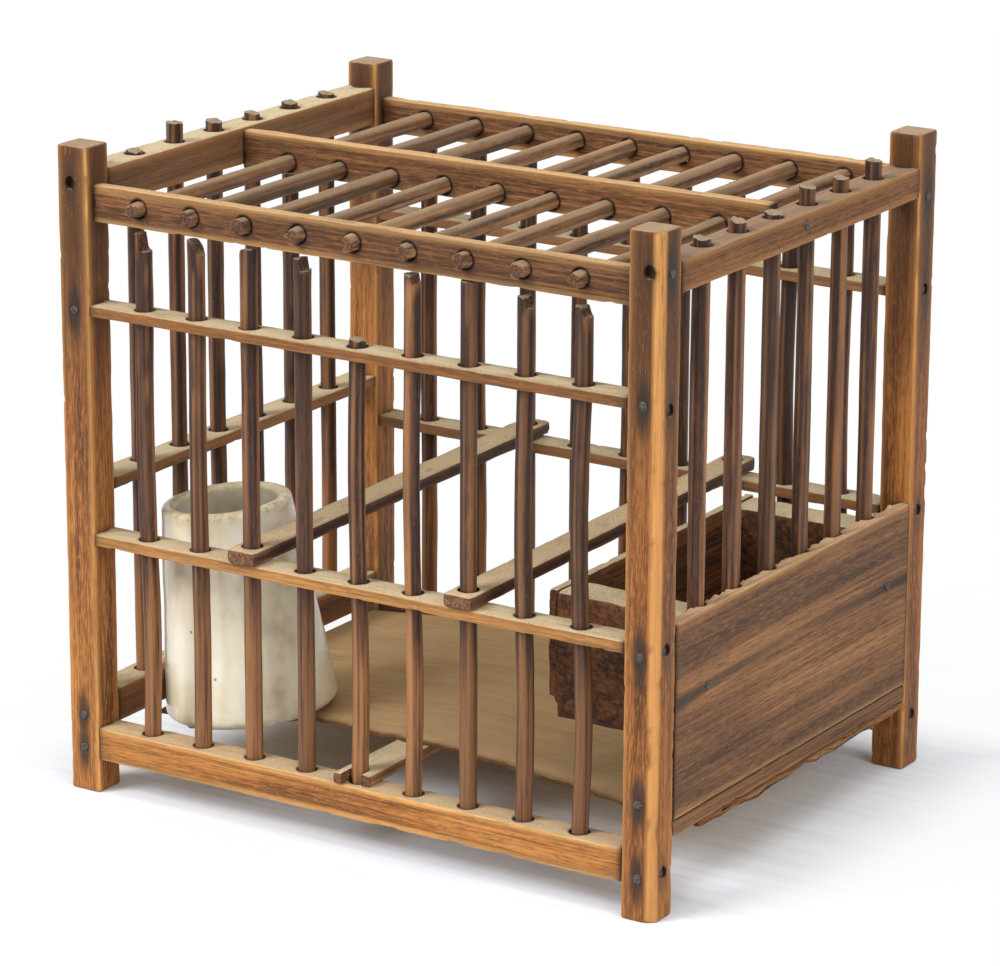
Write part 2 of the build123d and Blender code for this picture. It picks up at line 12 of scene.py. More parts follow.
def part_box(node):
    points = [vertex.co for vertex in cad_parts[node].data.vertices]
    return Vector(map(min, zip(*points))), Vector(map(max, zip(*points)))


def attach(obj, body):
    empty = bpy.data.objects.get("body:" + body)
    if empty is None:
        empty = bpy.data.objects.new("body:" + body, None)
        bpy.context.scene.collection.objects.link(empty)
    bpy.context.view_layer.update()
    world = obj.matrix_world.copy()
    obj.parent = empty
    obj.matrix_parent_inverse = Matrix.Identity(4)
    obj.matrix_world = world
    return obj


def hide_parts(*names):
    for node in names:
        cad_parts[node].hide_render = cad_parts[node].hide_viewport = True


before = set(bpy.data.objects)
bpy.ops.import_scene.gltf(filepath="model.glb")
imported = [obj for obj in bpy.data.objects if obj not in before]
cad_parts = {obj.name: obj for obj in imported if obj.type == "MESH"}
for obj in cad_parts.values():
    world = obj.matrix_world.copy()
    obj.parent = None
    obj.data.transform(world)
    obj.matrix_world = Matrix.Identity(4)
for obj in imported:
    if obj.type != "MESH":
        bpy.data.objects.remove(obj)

# A small travelling cage for one songbird: posts, drilled rails, whittled bars, perches, a seed
# box, a bent floor board and a leaning water pot. Shapes are worked out in millimetres in the
# frame's own axes, X along the front, Y to the rear, Z up, and turned to metres at the mesh.

log = logging.getLogger("cage")
Array = np.ndarray
Colour = tuple[float, float, float, float]
WHITE = (1.0, 1.0, 1.0, 1.0)
MM = 0.001

# Sizes that several pieces and finishes share
BAR_HOLE_RADIUS = 2.9
PERCH_HOLE_RADIUS = 3.12
FRONT_BAR_PITCH = 18.85
SIDE_BAR_PITCH = 20.1
FRONT_BAR_LINE = 75.85
SIDE_BAR_LINE = 97.5
ROOF_BAR_HEIGHT = 183.3
FRONT_BARS = (np.arange(9) - 4) * FRONT_BAR_PITCH
SIDE_BARS = (np.arange(6) - 2.5) * SIDE_BAR_PITCH


def colour(red: int, green: int, blue: int) -> Colour:
    """Turns a colour as it is seen, in 0 to 255, into the linear values that a shader takes.

    Args:
        red: red as seen.
        green: green as seen.
        blue: blue as seen.

    Returns:
        The linear colour with full alpha.
    """
    seen = np.array([red, green, blue]) / 255
    linear = np.where(seen <= 0.04045, seen / 12.92, ((seen + 0.055) / 1.055) ** 2.4)
    return (float(linear[0]), float(linear[1]), float(linear[2]), 1.0)


def ease(low: float, high: float, value: Array) -> Array:
    """Smooth step: 0 below low, 1 above high, and 3t^2 - 2t^3 between them."""
    t = np.clip((value - low) / (high - low), 0, 1)
    return t * t * (3 - 2 * t)


def cell_value(cell: Array, seed: int) -> Array:
    """Gives each whole-number cell of space its own number in 0 to 1.

    Args:
        cell: whole numbers, last axis of three.
        seed: picks another set of numbers.

    Returns:
        One number a cell, from the mixed bits of its three indices.
    """
    mixed = cell[..., 0] * 73856093 ^ cell[..., 1] * 19349663 ^ cell[..., 2] * 83492791
    mixed = (mixed ^ (seed * 2654435 + 97)) & 0xFFFFFFFF
    mixed = ((mixed ^ (mixed >> 13)) * 1274126177) & 0xFFFFFFFF
    return ((mixed ^ (mixed >> 16)) & 0xFFFFFF) / 0xFFFFFF


def roam(points: Array, period: tuple[float, float, float], seed: int) -> Array:
    """Smooth noise: the values of the eight cell corners round a point, blended by smooth steps.

    Args:
        points: places in millimetres, last axis of three.
        period: how long one cell is along X, Y and Z.
        seed: picks another noise.

    Returns:
        Values in -1 to 1, one a point.
    """
    place = points / np.array(period)
    cell = np.floor(place).astype(np.int64)
    part = place - cell
    part = part * part * (3 - 2 * part)
    total = np.zeros(points.shape[:-1])
    for corner in np.ndindex(2, 2, 2):
        step = np.array(corner)
        weight = np.prod(np.where(step == 1, part, 1 - part), axis=-1)
        total = total + weight * cell_value(cell + step, seed)
    return 2 * total - 1


class Way(Enum):
    """The axis that a piece's length and grain follow."""

    X = 0
    Y = 1
    Z = 2

    @property
    def across(self) -> tuple[int, int]:
        """The two other axes, in the order that keeps the three right-handed."""
        return (self.value + 1) % 3, (self.value + 2) % 3

    def spread(self, across: float, along: float) -> tuple[float, ...]:
        """A triple with one number on the axis of the grain and another on the two across it."""
        return tuple(along if way is self else across for way in Way)


def sawn_outline(
    width: float, height: float, edges: tuple[float, float, float, float], step: float
) -> tuple[Array, Array, Array]:
    """Outline of a sawn stick: a rectangle with a quarter circle at each corner.

    Args:
        width: size along the first axis.
        height: size along the second axis.
        edges: corner radii, counterclockwise from the high first, low second corner.
        step: distance between points on the straight sides.

    Returns:
        Points, outward normals, and 1 on the corners and 0 on the sides, counterclockwise.
    """
    signs = ((1, -1), (1, 1), (-1, 1), (-1, -1))
    centres = [
        np.array([sx * (width / 2 - r), sy * (height / 2 - r)])
        for (sx, sy), r in zip(signs, edges)
    ]
    points, normals, corners = [], [], []
    for turn in range(4):
        angle = np.linspace((turn - 1) * math.pi / 2, turn * math.pi / 2, 5)
        arc = np.stack([np.cos(angle), np.sin(angle)], axis=-1)
        points.append(centres[turn] + edges[turn] * arc)
        normals.append(arc)
        corners.append(np.ones(len(angle)))
        start = points[-1][-1]
        end = centres[(turn + 1) % 4] + edges[(turn + 1) % 4] * arc[-1]
        count = max(1, round(float(np.linalg.norm(end - start)) / step))
        share = np.linspace(0, 1, count + 1)[1:-1, None]
        points.append(start + (end - start) * share)
        normals.append(np.repeat(arc[-1:], len(share), axis=0))
        corners.append(np.zeros(len(share)))
    return np.concatenate(points), np.concatenate(normals), np.concatenate(corners)


@dataclass
class Stick:
    """A sawn stick: the outline carried along one axis between two corners, its edges worn.

    Attributes:
        low: lowest corner.
        high: highest corner.
        way: axis of its length.
        edges: corner radii of the outline.
        chew: how far the edges are worn in.
        waver: how far the faces leave their planes.
        step: distance between rings.
        girth: distance between points round a ring.
        seed: picks how its edges are worn.
        end: radius of the worn ends.
    """

    low: Array
    high: Array
    way: Way
    edges: tuple[float, float, float, float] = (0.5, 0.5, 0.5, 0.5)
    chew: float = 0.25
    waver: float = 0.08
    step: float = 1.3
    girth: float = 1.8
    seed: int = 1
    end: float = 0.35

    def rings(self) -> Array:
        """Works out the stick as rings of points, the flat ends included.

        Along the length s the outline is drawn in by end (1 - sin a) where s is
        end (1 - cos a), so the ends are quarter rounds; inside the ends it is shrunk towards
        the middle. Noise stretched along the grain pushes each point along its own normal.

        Returns:
            Points in millimetres, rings by points by three.
        """
        a, b = self.way.across
        size = self.high - self.low
        middle = (self.high + self.low) / 2
        outline, normal, corner = sawn_outline(size[a], size[b], self.edges, self.girth)
        length = size[self.way.value]
        turn = np.linspace(0, math.pi / 2, 4)
        near = self.end * (1 - np.cos(turn))
        inset = self.end * (1 - np.sin(turn))
        count = max(2, round((length - 2 * self.end) / self.step))
        body = np.linspace(self.end, length - self.end, count + 1)[1:-1]
        along = np.concatenate([[0, 0], near, body, length - near[::-1], [length, length]])
        drawn = np.concatenate([[inset[0]] * 2, inset, body * 0, inset[::-1], [inset[0]] * 2])
        shrink = np.concatenate([[0.4, 0.8], turn * 0 + 1, body * 0 + 1, turn * 0 + 1, [0.8, 0.4]])
        section = (outline[None] - normal[None] * drawn[:, None, None]) * shrink[:, None, None]
        points = np.zeros((len(along), len(outline), 3))
        points[..., a] = middle[a] + section[..., 0]
        points[..., b] = middle[b] + section[..., 1]
        points[..., self.way.value] = self.low[self.way.value] + along[:, None]
        wide = roam(points, self.way.spread(14, 46), self.seed)
        nick = roam(points, self.way.spread(2.2, 5.5), self.seed + 1)
        chip = ease(0.45, 0.75, roam(points, self.way.spread(2.6, 3.4), self.seed + 2))
        worn = 0.5 * nick - 0.5 - 1.1 * chip
        push = self.waver * wide + self.chew * corner[None] * worn
        push = push * (shrink == 1)[:, None]
        points[..., a] += normal[None, :, 0] * push
        points[..., b] += normal[None, :, 1] * push
        return points


@dataclass(frozen=True)
class Cut:
    """How a hand cut left the top of a bar: one height on each side of a step or slope.

    Attributes:
        left: height of the left part over the ground.
        right: height of the right part.
        at: where the step is, from the bar's middle.
        blur: half the width of the step; a wide one is a slope.
    """

    left: float
    right: float
    at: float = 0.0
    blur: float = 0.35

    def height(self, x: Array) -> Array:
        """Height of the cut at a distance x from the bar's middle."""
        step = ease(self.at - self.blur, self.at + self.blur, x)
        return self.left + (self.right - self.left) * step


@dataclass
class WhittledBar:
    """A round bar cut with a knife: flats of uneven width, a slight bow, and a rough top.

    Attributes:
        x: place of its middle.
        y: place of its middle.
        foot: height of its foot.
        cut: its top.
        seats: heights at which rails hold it, where it has no bow.
        bow: how far it bows between seats, along X and Y.
        radius: mean radius.
        seed: picks its flats.
        ragged: how much of the radius is split away at the foot.
        flats: number of flats.
        round_points: points round it.
    """

    x: float
    y: float
    foot: float
    cut: Cut
    seats: tuple[float, ...]
    bow: tuple[float, float] = (0.0, 0.0)
    radius: float = 2.58
    seed: int = 1
    ragged: float = 0.0
    flats: int = 8
    round_points: int = 24

    def rings(self) -> Array:
        """Works out the bar as rings of points, both ends included.

        The radius at an angle t is the least of d / cos(t - c) over the flats, each with its
        own direction c, which turns slowly with height, and its own distance d. The middle
        line leaves the straight by bow times the sine of the place between two seats.

        Returns:
            Points in millimetres, rings by points by three.
        """
        rng = np.random.default_rng(self.seed)
        angle = np.linspace(0, 2 * math.pi, self.round_points, endpoint=False)
        top = min(self.cut.left, self.cut.right)
        shoulder = top - 8
        body = np.linspace(self.foot, shoulder, max(3, round((shoulder - self.foot) / 2.8)))
        rise = np.linspace(0, 1, 9)[1:]
        shrink = np.concatenate([[0.4, 0.85], body * 0 + 1, rise * 0 + 1, [0.9, 0.6, 0.3]])
        centres = np.sort(rng.uniform(0, 2 * math.pi, self.flats))
        centres = 0.6 * np.linspace(0, 2 * math.pi, self.flats, endpoint=False) + 0.4 * centres
        depth = rng.uniform(0.9, 0.99, self.flats)
        share = np.linspace(0, 1, len(shrink))
        turned = angle[None, :, None] - centres - 0.5 * share[:, None, None]
        flat = np.min(depth / np.maximum(np.cos(turned), 0.25), axis=-1)
        radius = self.radius * (0.1 + 0.9 * np.minimum(flat, 1.05)) * shrink[:, None]
        sector = (angle * 1.9).astype(int)
        split = cell_value(np.stack([sector, sector * 0, sector * 0], -1), self.seed)
        near_foot = np.concatenate([[0, 0], body - self.foot, rise * 0 + 99, [99] * 3])
        radius = radius * (1 - self.ragged * np.exp(-near_foot / 2.2)[:, None] * split)
        across = radius * np.cos(angle)
        deep = radius * np.sin(angle)
        tip = self.cut.height(across)
        height = np.zeros_like(radius)
        height[:2] = self.foot
        height[2:2 + len(body)] = body[:, None]
        height[2 + len(body):-3] = shoulder + rise[:, None] * (
            tip[2 + len(body):-3] - shoulder)
        height[-3:] = tip[-3:]
        points = np.stack([across, deep, height], axis=-1)
        rough = roam(points + self.seed * 7.3, (1.1, 1.1, 1.1), self.seed)
        points[-4:, :, 2] += 0.35 * rough[-4:]
        points[:3, :, 2] -= 0.3 * np.abs(rough[:3])
        phase = np.interp(points[..., 2], self.seats, np.arange(len(self.seats)))
        sway = np.sin(math.pi * phase)
        swell = 1 + 0.03 * roam(points + self.seed * 3.1, (9, 9, 15), self.seed + 2)
        swell = swell + 0.025 * roam(points + self.seed * 1.7, (3, 3, 7), self.seed + 3)
        points[..., 0] = self.x + points[..., 0] * swell + self.bow[0] * sway
        points[..., 1] = self.y + points[..., 1] * swell + self.bow[1] * sway
        return points


def join_rings(name: str, shells: list[Array]) -> bpy.types.Object:
    """Makes one object of closed tubes, each given as rings of points.

    Quads join ring to ring, and a fan to the mean of the first and last ring closes the ends.
    Rings run counterclockwise seen against the way they follow each other, so faces look out.

    Args:
        name: the object's name.
        shells: arrays of rings by points by three, in millimetres.

    Returns:
        The object, in the scene, at the origin.
    """
    corners: list[Array] = []
    faces: list[list[int]] = []
    base = 0
    for rings in shells:
        count, around = rings.shape[:2]
        index = base + np.arange(count * around).reshape(count, around)
        beside = np.roll(index, -1, axis=1)
        quads = np.stack([index[:-1], beside[:-1], beside[1:], index[1:]], axis=-1)
        first, last = base + count * around, base + count * around + 1
        low = np.stack([np.full(around, first), beside[0], index[0]], axis=-1)
        high = np.stack([np.full(around, last), index[-1], beside[-1]], axis=-1)
        faces += quads.reshape(-1, 4).tolist() + low.tolist() + high.tolist()
        corners += [rings.reshape(-1, 3), rings[0].mean(0)[None], rings[-1].mean(0)[None]]
        base = last + 1
    mesh = bpy.data.meshes.new(name)
    mesh.from_pydata((np.concatenate(corners) * MM).tolist(), [], faces)
    mesh.update()
    made = bpy.data.objects.new(name, mesh)
    bpy.context.scene.collection.objects.link(made)
    return made


def places_of(mesh: bpy.types.Mesh) -> Array:
    """Reads the points of a mesh.

    Args:
        mesh: the mesh.

    Returns:
        Its points in millimetres, one row each.
    """
    flat = np.zeros(len(mesh.vertices) * 3, np.float32)
    mesh.vertices.foreach_get("co", flat)
    return flat.reshape(-1, 3).astype(float) / MM


def keeps_inside(cut_mesh: bpy.types.Mesh, whole: Array) -> bool:
    """Tells whether a cut left most of a piece and nothing outside of it.

    Args:
        cut_mesh: the mesh after the cut.
        whole: the piece's points before it, in millimetres.

    Returns:
        True when the cut mesh spans no more than the piece and not much less.
    """
    if len(cut_mesh.vertices) < 8:
        return False
    span, kept = np.ptp(whole, axis=0), np.ptp(places_of(cut_mesh), axis=0)
    return bool(np.all(kept < span + 0.02) and np.all(kept > 0.6 * span))


def drill(piece: bpy.types.Object, pins: list[Array]) -> None:
    """Cuts the shapes of pins out of a piece, and leaves it a plain mesh.

    Args:
        piece: the object to cut.
        pins: the rings of each pin.
    """
    cutter = join_rings("pins", pins)
    whole = places_of(piece.data)
    for crossing in (False, True):
        cut = piece.modifiers.new("drill", "BOOLEAN")
        cut.operation = "DIFFERENCE"
        cut.solver = "EXACT"
        cut.use_self = crossing
        cut.object = cutter
        bpy.context.view_layer.update()
        graph = bpy.context.evaluated_depsgraph_get()
        drilled = bpy.data.meshes.new_from_object(piece.evaluated_get(graph))
        piece.modifiers.clear()
        if keeps_inside(drilled, whole):
            break
    else:
        log.warning("%s: the cut failed", piece.name)
    undrilled = piece.data
    piece.data = drilled
    drilled.name = piece.name
    bpy.data.meshes.remove(undrilled)
    pin_mesh = cutter.data
    bpy.data.objects.remove(cutter)
    bpy.data.meshes.remove(pin_mesh)


def pin(start: Array, way: Way, length: float, radius: float, points: int = 20) -> Array:
    """Rings of a straight round pin, for drilling.

    Args:
        start: middle of its first end.
        way: axis that it follows.
        length: how long it is.
        radius: its radius.
        points: points round it.

    Returns:
        Two rings of points.
    """
    angle = np.linspace(0, 2 * math.pi, points, endpoint=False)
    a, b = way.across
    rings = np.zeros((2, points, 3)) + np.array(start)
    rings[..., a] += radius * np.cos(angle)
    rings[..., b] += radius * np.sin(angle)
    rings[1, :, way.value] += length
    return rings


def paint(piece: bpy.types.Object, name: str, amount: Array | float) -> None:
    """Keeps one number in 0 to 1 a point on the mesh, for its material to read."""
    spread = np.broadcast_to(np.clip(amount, 0, 1), len(piece.data.vertices)).astype(np.float32)
    piece.data.attributes.new(name, "FLOAT", "POINT").data.foreach_set("value", spread)


def weather(piece: bpy.types.Object, wear_and_highlight: Array | float, end: Array | float = 0.0,
            iron: Array | float = 0.0, grime_and_shade: Array | float = 0.0) -> None:
    """Paints what a wood finish reads: worn edges, which on the bars are painted highlights on
    their ridges, end grain, iron stains, and black dirt, which in the sunk nail holes is painted
    shade.
    """
    for name, amount in (("wear_and_highlight", wear_and_highlight), ("end", end), ("iron", iron), ("grime_and_shade", grime_and_shade)):
        paint(piece, name, amount)


def smooth_sides(piece: bpy.types.Object, sharpest: float = 40.0) -> None:
    """Shades the piece smooth, except over edges sharper than an angle in degrees."""
    piece.data.polygons.foreach_set("use_smooth", np.ones(len(piece.data.polygons), bool))
    piece.data.set_sharp_from_angle(angle=math.radians(sharpest))


def edge_wear(places: Array, low: Array, high: Array, way: Way, reach: float) -> Array:
    """How close each point is to a long edge: exp(-d / reach), d the further of its two faces.

    Args:
        places: the points.
        low: the stick's lowest corner.
        high: its highest corner.
        way: axis of its length.
        reach: how far in from the edge the wear goes.

    Returns:
        1 on an edge, falling to 0 inwards.
    """
    distance = [
        np.minimum(np.abs(places[:, axis] - low[axis]), np.abs(high[axis] - places[:, axis]))
        for axis in way.across
    ]
    return np.exp(-np.maximum(distance[0], distance[1]) / reach)


def from_ends(places: Array, low: Array, high: Array, way: Way) -> Array:
    """Distance of each point from the nearer end of its stick."""
    along = places[:, way.value]
    return np.minimum(along - low[way.value], high[way.value] - along)


def corners_of(node: str) -> tuple[Array, Array]:
    """Lowest and highest corner of a frame node, in millimetres."""
    low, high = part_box(node)
    return np.array(low) / MM, np.array(high) / MM


def set_down(piece: bpy.types.Object, finish: bpy.types.Material, body: str, slot: str,
             *nodes: str) -> None:
    """Dresses a piece, puts it on its body and lets it stand for frame nodes.

    Args:
        piece: the finished object.
        finish: its material.
        body: the body that it moves with.
        slot: not used.
        nodes: frame nodes that it stands for.
    """
    piece.data.materials.clear()
    piece.data.materials.append(finish)
    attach(piece, body)
    if nodes:
        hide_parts(*nodes)
    log.info("%s: %d faces", piece.name, len(piece.data.polygons))


class Value:
    """One socket of a shader tree, with the arithmetic that Python's operators give it."""

    def __init__(self, painter: "Painter", socket: bpy.types.NodeSocket) -> None:
        """Keeps the painter whose tree the socket is in."""
        self.painter = painter
        self.socket = socket

    def maths(self, operation: str, *terms: Any) -> "Value":
        """One Math node on the given terms."""
        return self.painter.made(
            "ShaderNodeMath", {"operation": operation}, dict(enumerate(terms)))

    def __add__(self, other: Any) -> "Value":
        """The sum with another value or number."""
        return self.maths("ADD", self, other)

    def __radd__(self, other: Any) -> "Value":
        """The sum with a number on the left."""
        return self.maths("ADD", other, self)

    def __sub__(self, other: Any) -> "Value":
        """The value less another."""
        return self.maths("SUBTRACT", self, other)

    def __rsub__(self, other: Any) -> "Value":
        """A number less the value."""
        return self.maths("SUBTRACT", other, self)

    def __mul__(self, other: Any) -> "Value":
        """The product with another value or number."""
        return self.maths("MULTIPLY", self, other)

    def __rmul__(self, other: Any) -> "Value":
        """The product with a number on the left."""
        return self.maths("MULTIPLY", other, self)

    def __truediv__(self, other: Any) -> "Value":
        """The value over another."""
        return self.maths("DIVIDE", self, other)

    def __rtruediv__(self, other: Any) -> "Value":
        """A number over the value."""
        return self.maths("DIVIDE", other, self)

    def __pow__(self, other: Any) -> "Value":
        """The value to a power."""
        return self.maths("POWER", self, other)

    def __rpow__(self, other: Any) -> "Value":
        """A number to the power of the value."""
        return self.maths("POWER", other, self)

    def __abs__(self) -> "Value":
        """The value without its sign."""
        return self.maths("ABSOLUTE", self)

    def sine(self) -> "Value":
        """Sine of the value, in radians."""
        return self.maths("SINE", self)

    def nearest(self) -> "Value":
        """The nearest whole number."""
        return self.maths("ROUND", self)

    def least(self, other: Any) -> "Value":
        """The smaller of the value and another."""
        return self.maths("MINIMUM", self, other)

    def most(self, other: Any) -> "Value":
        """The larger of the value and another."""
        return self.maths("MAXIMUM", self, other)

    def ease(self, low: float, high: float) -> "Value":
        """Smooth step between two levels of the value, 3t^2 - 2t^3.

        Args:
            low: where it is 0.
            high: where it is 1; below low, the step falls.

        Returns:
            The step, 0 to 1.
        """
        if low > high:
            return 1 - self.ease(high, low)
        return self.painter.made(
            "ShaderNodeMapRange", {"interpolation_type": "SMOOTHSTEP"},
            {0: self, 1: low, 2: high, 3: 0.0, 4: 1.0})


class Painter:
    """Builds one shader tree, node by node, for a material or a world."""

    def __init__(self, owner: bpy.types.Material | bpy.types.World) -> None:
        """Takes over a material's or a world's tree and empties it.

        Args:
            owner: what the tree belongs to.
        """
        owner.use_nodes = True
        self.owner = owner
        self.tree = owner.node_tree
        self.tree.nodes.clear()

    @classmethod
    def of_material(cls, name: str) -> "Painter":
        """A painter for a new material."""
        return cls(bpy.data.materials.new(name))

    def node(self, kind: str, settings: dict[str, Any], sockets: dict[Any, Any]) -> Any:
        """Adds a node: its settings first, then the values or links of its sockets.

        Args:
            kind: the node's type.
            settings: attributes, and a ramp's stops as (place, colour) pairs.
            sockets: values, or Value links, by socket name or number.

        Returns:
            The node.
        """
        made = self.tree.nodes.new(kind)
        for key, setting in settings.items():
            if key == "stops":
                self.lay_stops(made.color_ramp, setting)
            else:
                setattr(made, key, setting)
        for key, term in sockets.items():
            if isinstance(term, Value):
                self.tree.links.new(term.socket, made.inputs[key])
            else:
                made.inputs[key].default_value = term
        return made

    def made(self, kind: str, settings: dict[str, Any], sockets: dict[Any, Any],
             output: int | str = 0) -> Value:
        """Adds a node in the same way, and takes one of its outputs by number or name."""
        return Value(self, self.node(kind, settings, sockets).outputs[output])

    def lay_stops(self, ramp: bpy.types.ColorRamp, stops: tuple) -> None:
        """Puts a ramp's stops in place, using the two that it starts with first.

        Args:
            ramp: the ramp.
            stops: its stops as (place, colour) pairs.
        """
        while len(ramp.elements) < len(stops):
            ramp.elements.new(0.5)
        for element, (place, shade) in zip(ramp.elements, stops):
            element.position = place
            element.color = shade

    def place(self) -> Value:
        """Object coordinates in millimetres."""
        spot = self.made("ShaderNodeTexCoord", {}, {}, "Object")
        return self.stretch(spot, (1 / MM, 1 / MM, 1 / MM))

    def stretch(self, vector: Value, by: tuple[float, float, float]) -> Value:
        """The vector with each part multiplied by its own number."""
        return self.made("ShaderNodeVectorMath", {"operation": "MULTIPLY"}, {0: vector, 1: by})

    def parts(self, vector: Value) -> tuple[Value, Value, Value]:
        """The three parts of a vector."""
        x, y, z = self.node("ShaderNodeSeparateXYZ", {}, {0: vector}).outputs
        return Value(self, x), Value(self, y), Value(self, z)

    def upward(self) -> Value:
        """How far the surface faces up: 1 for a top, 0 for a side, -1 for an underside."""
        return self.parts(self.made("ShaderNodeNewGeometry", {}, {}, "Normal"))[2]

    def kept(self, name: str) -> Value:
        """A number painted on the mesh."""
        return self.made("ShaderNodeAttribute",
                         {"attribute_name": name, "attribute_type": "GEOMETRY"}, {}, "Fac")

    def seen(self) -> Value:
        """Tells rays that look from rays that light.

        Returns:
            1 for what the camera, a reflection or a clear piece sees, 0 for what only lights.
        """
        rays = self.node("ShaderNodeLightPath", {}, {}).outputs
        camera, glossy, through = (
            Value(self, rays[f"Is {kind} Ray"]) for kind in ("Camera", "Glossy", "Transmission"))
        return camera.most(glossy).most(through)

    def noise(self, vector: Value, detail: float = 2.0, rough: float = 0.5,
              twist: float = 0.0) -> Value:
        """Noise in 0 to 1 over a vector whose unit is about one blotch.

        Args:
            vector: the place, stretched to blotches.
            detail: number of finer layers.
            rough: how strong the finer layers are.
            twist: how far the pattern is swirled.

        Returns:
            The noise.
        """
        return self.made(
            "ShaderNodeTexNoise", {"noise_dimensions": "3D"},
            {"Vector": vector, "Scale": 1.0, "Detail": detail, "Roughness": rough,
             "Distortion": twist})

    def specks(self, vector: Value) -> Value:
        """Distance to the nearest of the scattered points of space, one a cell."""
        return self.made("ShaderNodeTexVoronoi", {"voronoi_dimensions": "3D", "feature": "F1"},
                         {"Vector": vector, "Scale": 1.0}, "Distance")

    def ramp(self, factor: Value, stops: tuple) -> Value:
        """Colours laid over a factor."""
        return self.made("ShaderNodeValToRGB", {"stops": stops}, {0: factor})

    def mix(self, factor: Any, under: Any, over: Any) -> Value:
        """One colour over another by a factor."""
        how = {"data_type": "RGBA", "blend_type": "MIX", "clamp_factor": True}
        return self.made("ShaderNodeMix", how, {0: factor, 6: under, 7: over}, 2)

    def surface(self, shade: Value, rough: Value, height: Value | None = None,
                depth: float = 0.0, **fixed: Any) -> Value:
        """A surface shader with its linked colour, roughness and bump.

        Args:
            shade: base colour.
            rough: roughness.
            height: bump height in 0 to 1, if any.
            depth: what a height of 1 stands for, in millimetres.
            fixed: values of other sockets, by name with _ for a space.

        Returns:
            The shader.
        """
        sockets = {"Base Color": shade, "Roughness": rough}
        sockets |= {name.replace("_", " "): term for name, term in fixed.items()}
        if height is not None:
            sockets["Normal"] = self.made(
                "ShaderNodeBump", {}, {"Strength": 1.0, "Distance": depth * MM, "Height": height})
        return self.made("ShaderNodeBsdfPrincipled", {}, sockets)

    def finish(self, shader: Value, output: str = "ShaderNodeOutputMaterial") -> Any:
        """Puts the shader out, and gives back the material or world."""
        self.node(output, {}, {"Surface": shader})
        return self.owner


class HoleRow(Enum):
    """Where bars pass through a piece, for the dark ring round each: painted shade of the gap
    round the bar, and dirt.
    """

    NONE = 0
    LONG_SIDES = 1
    ENDS = 2
    ROOF = 3


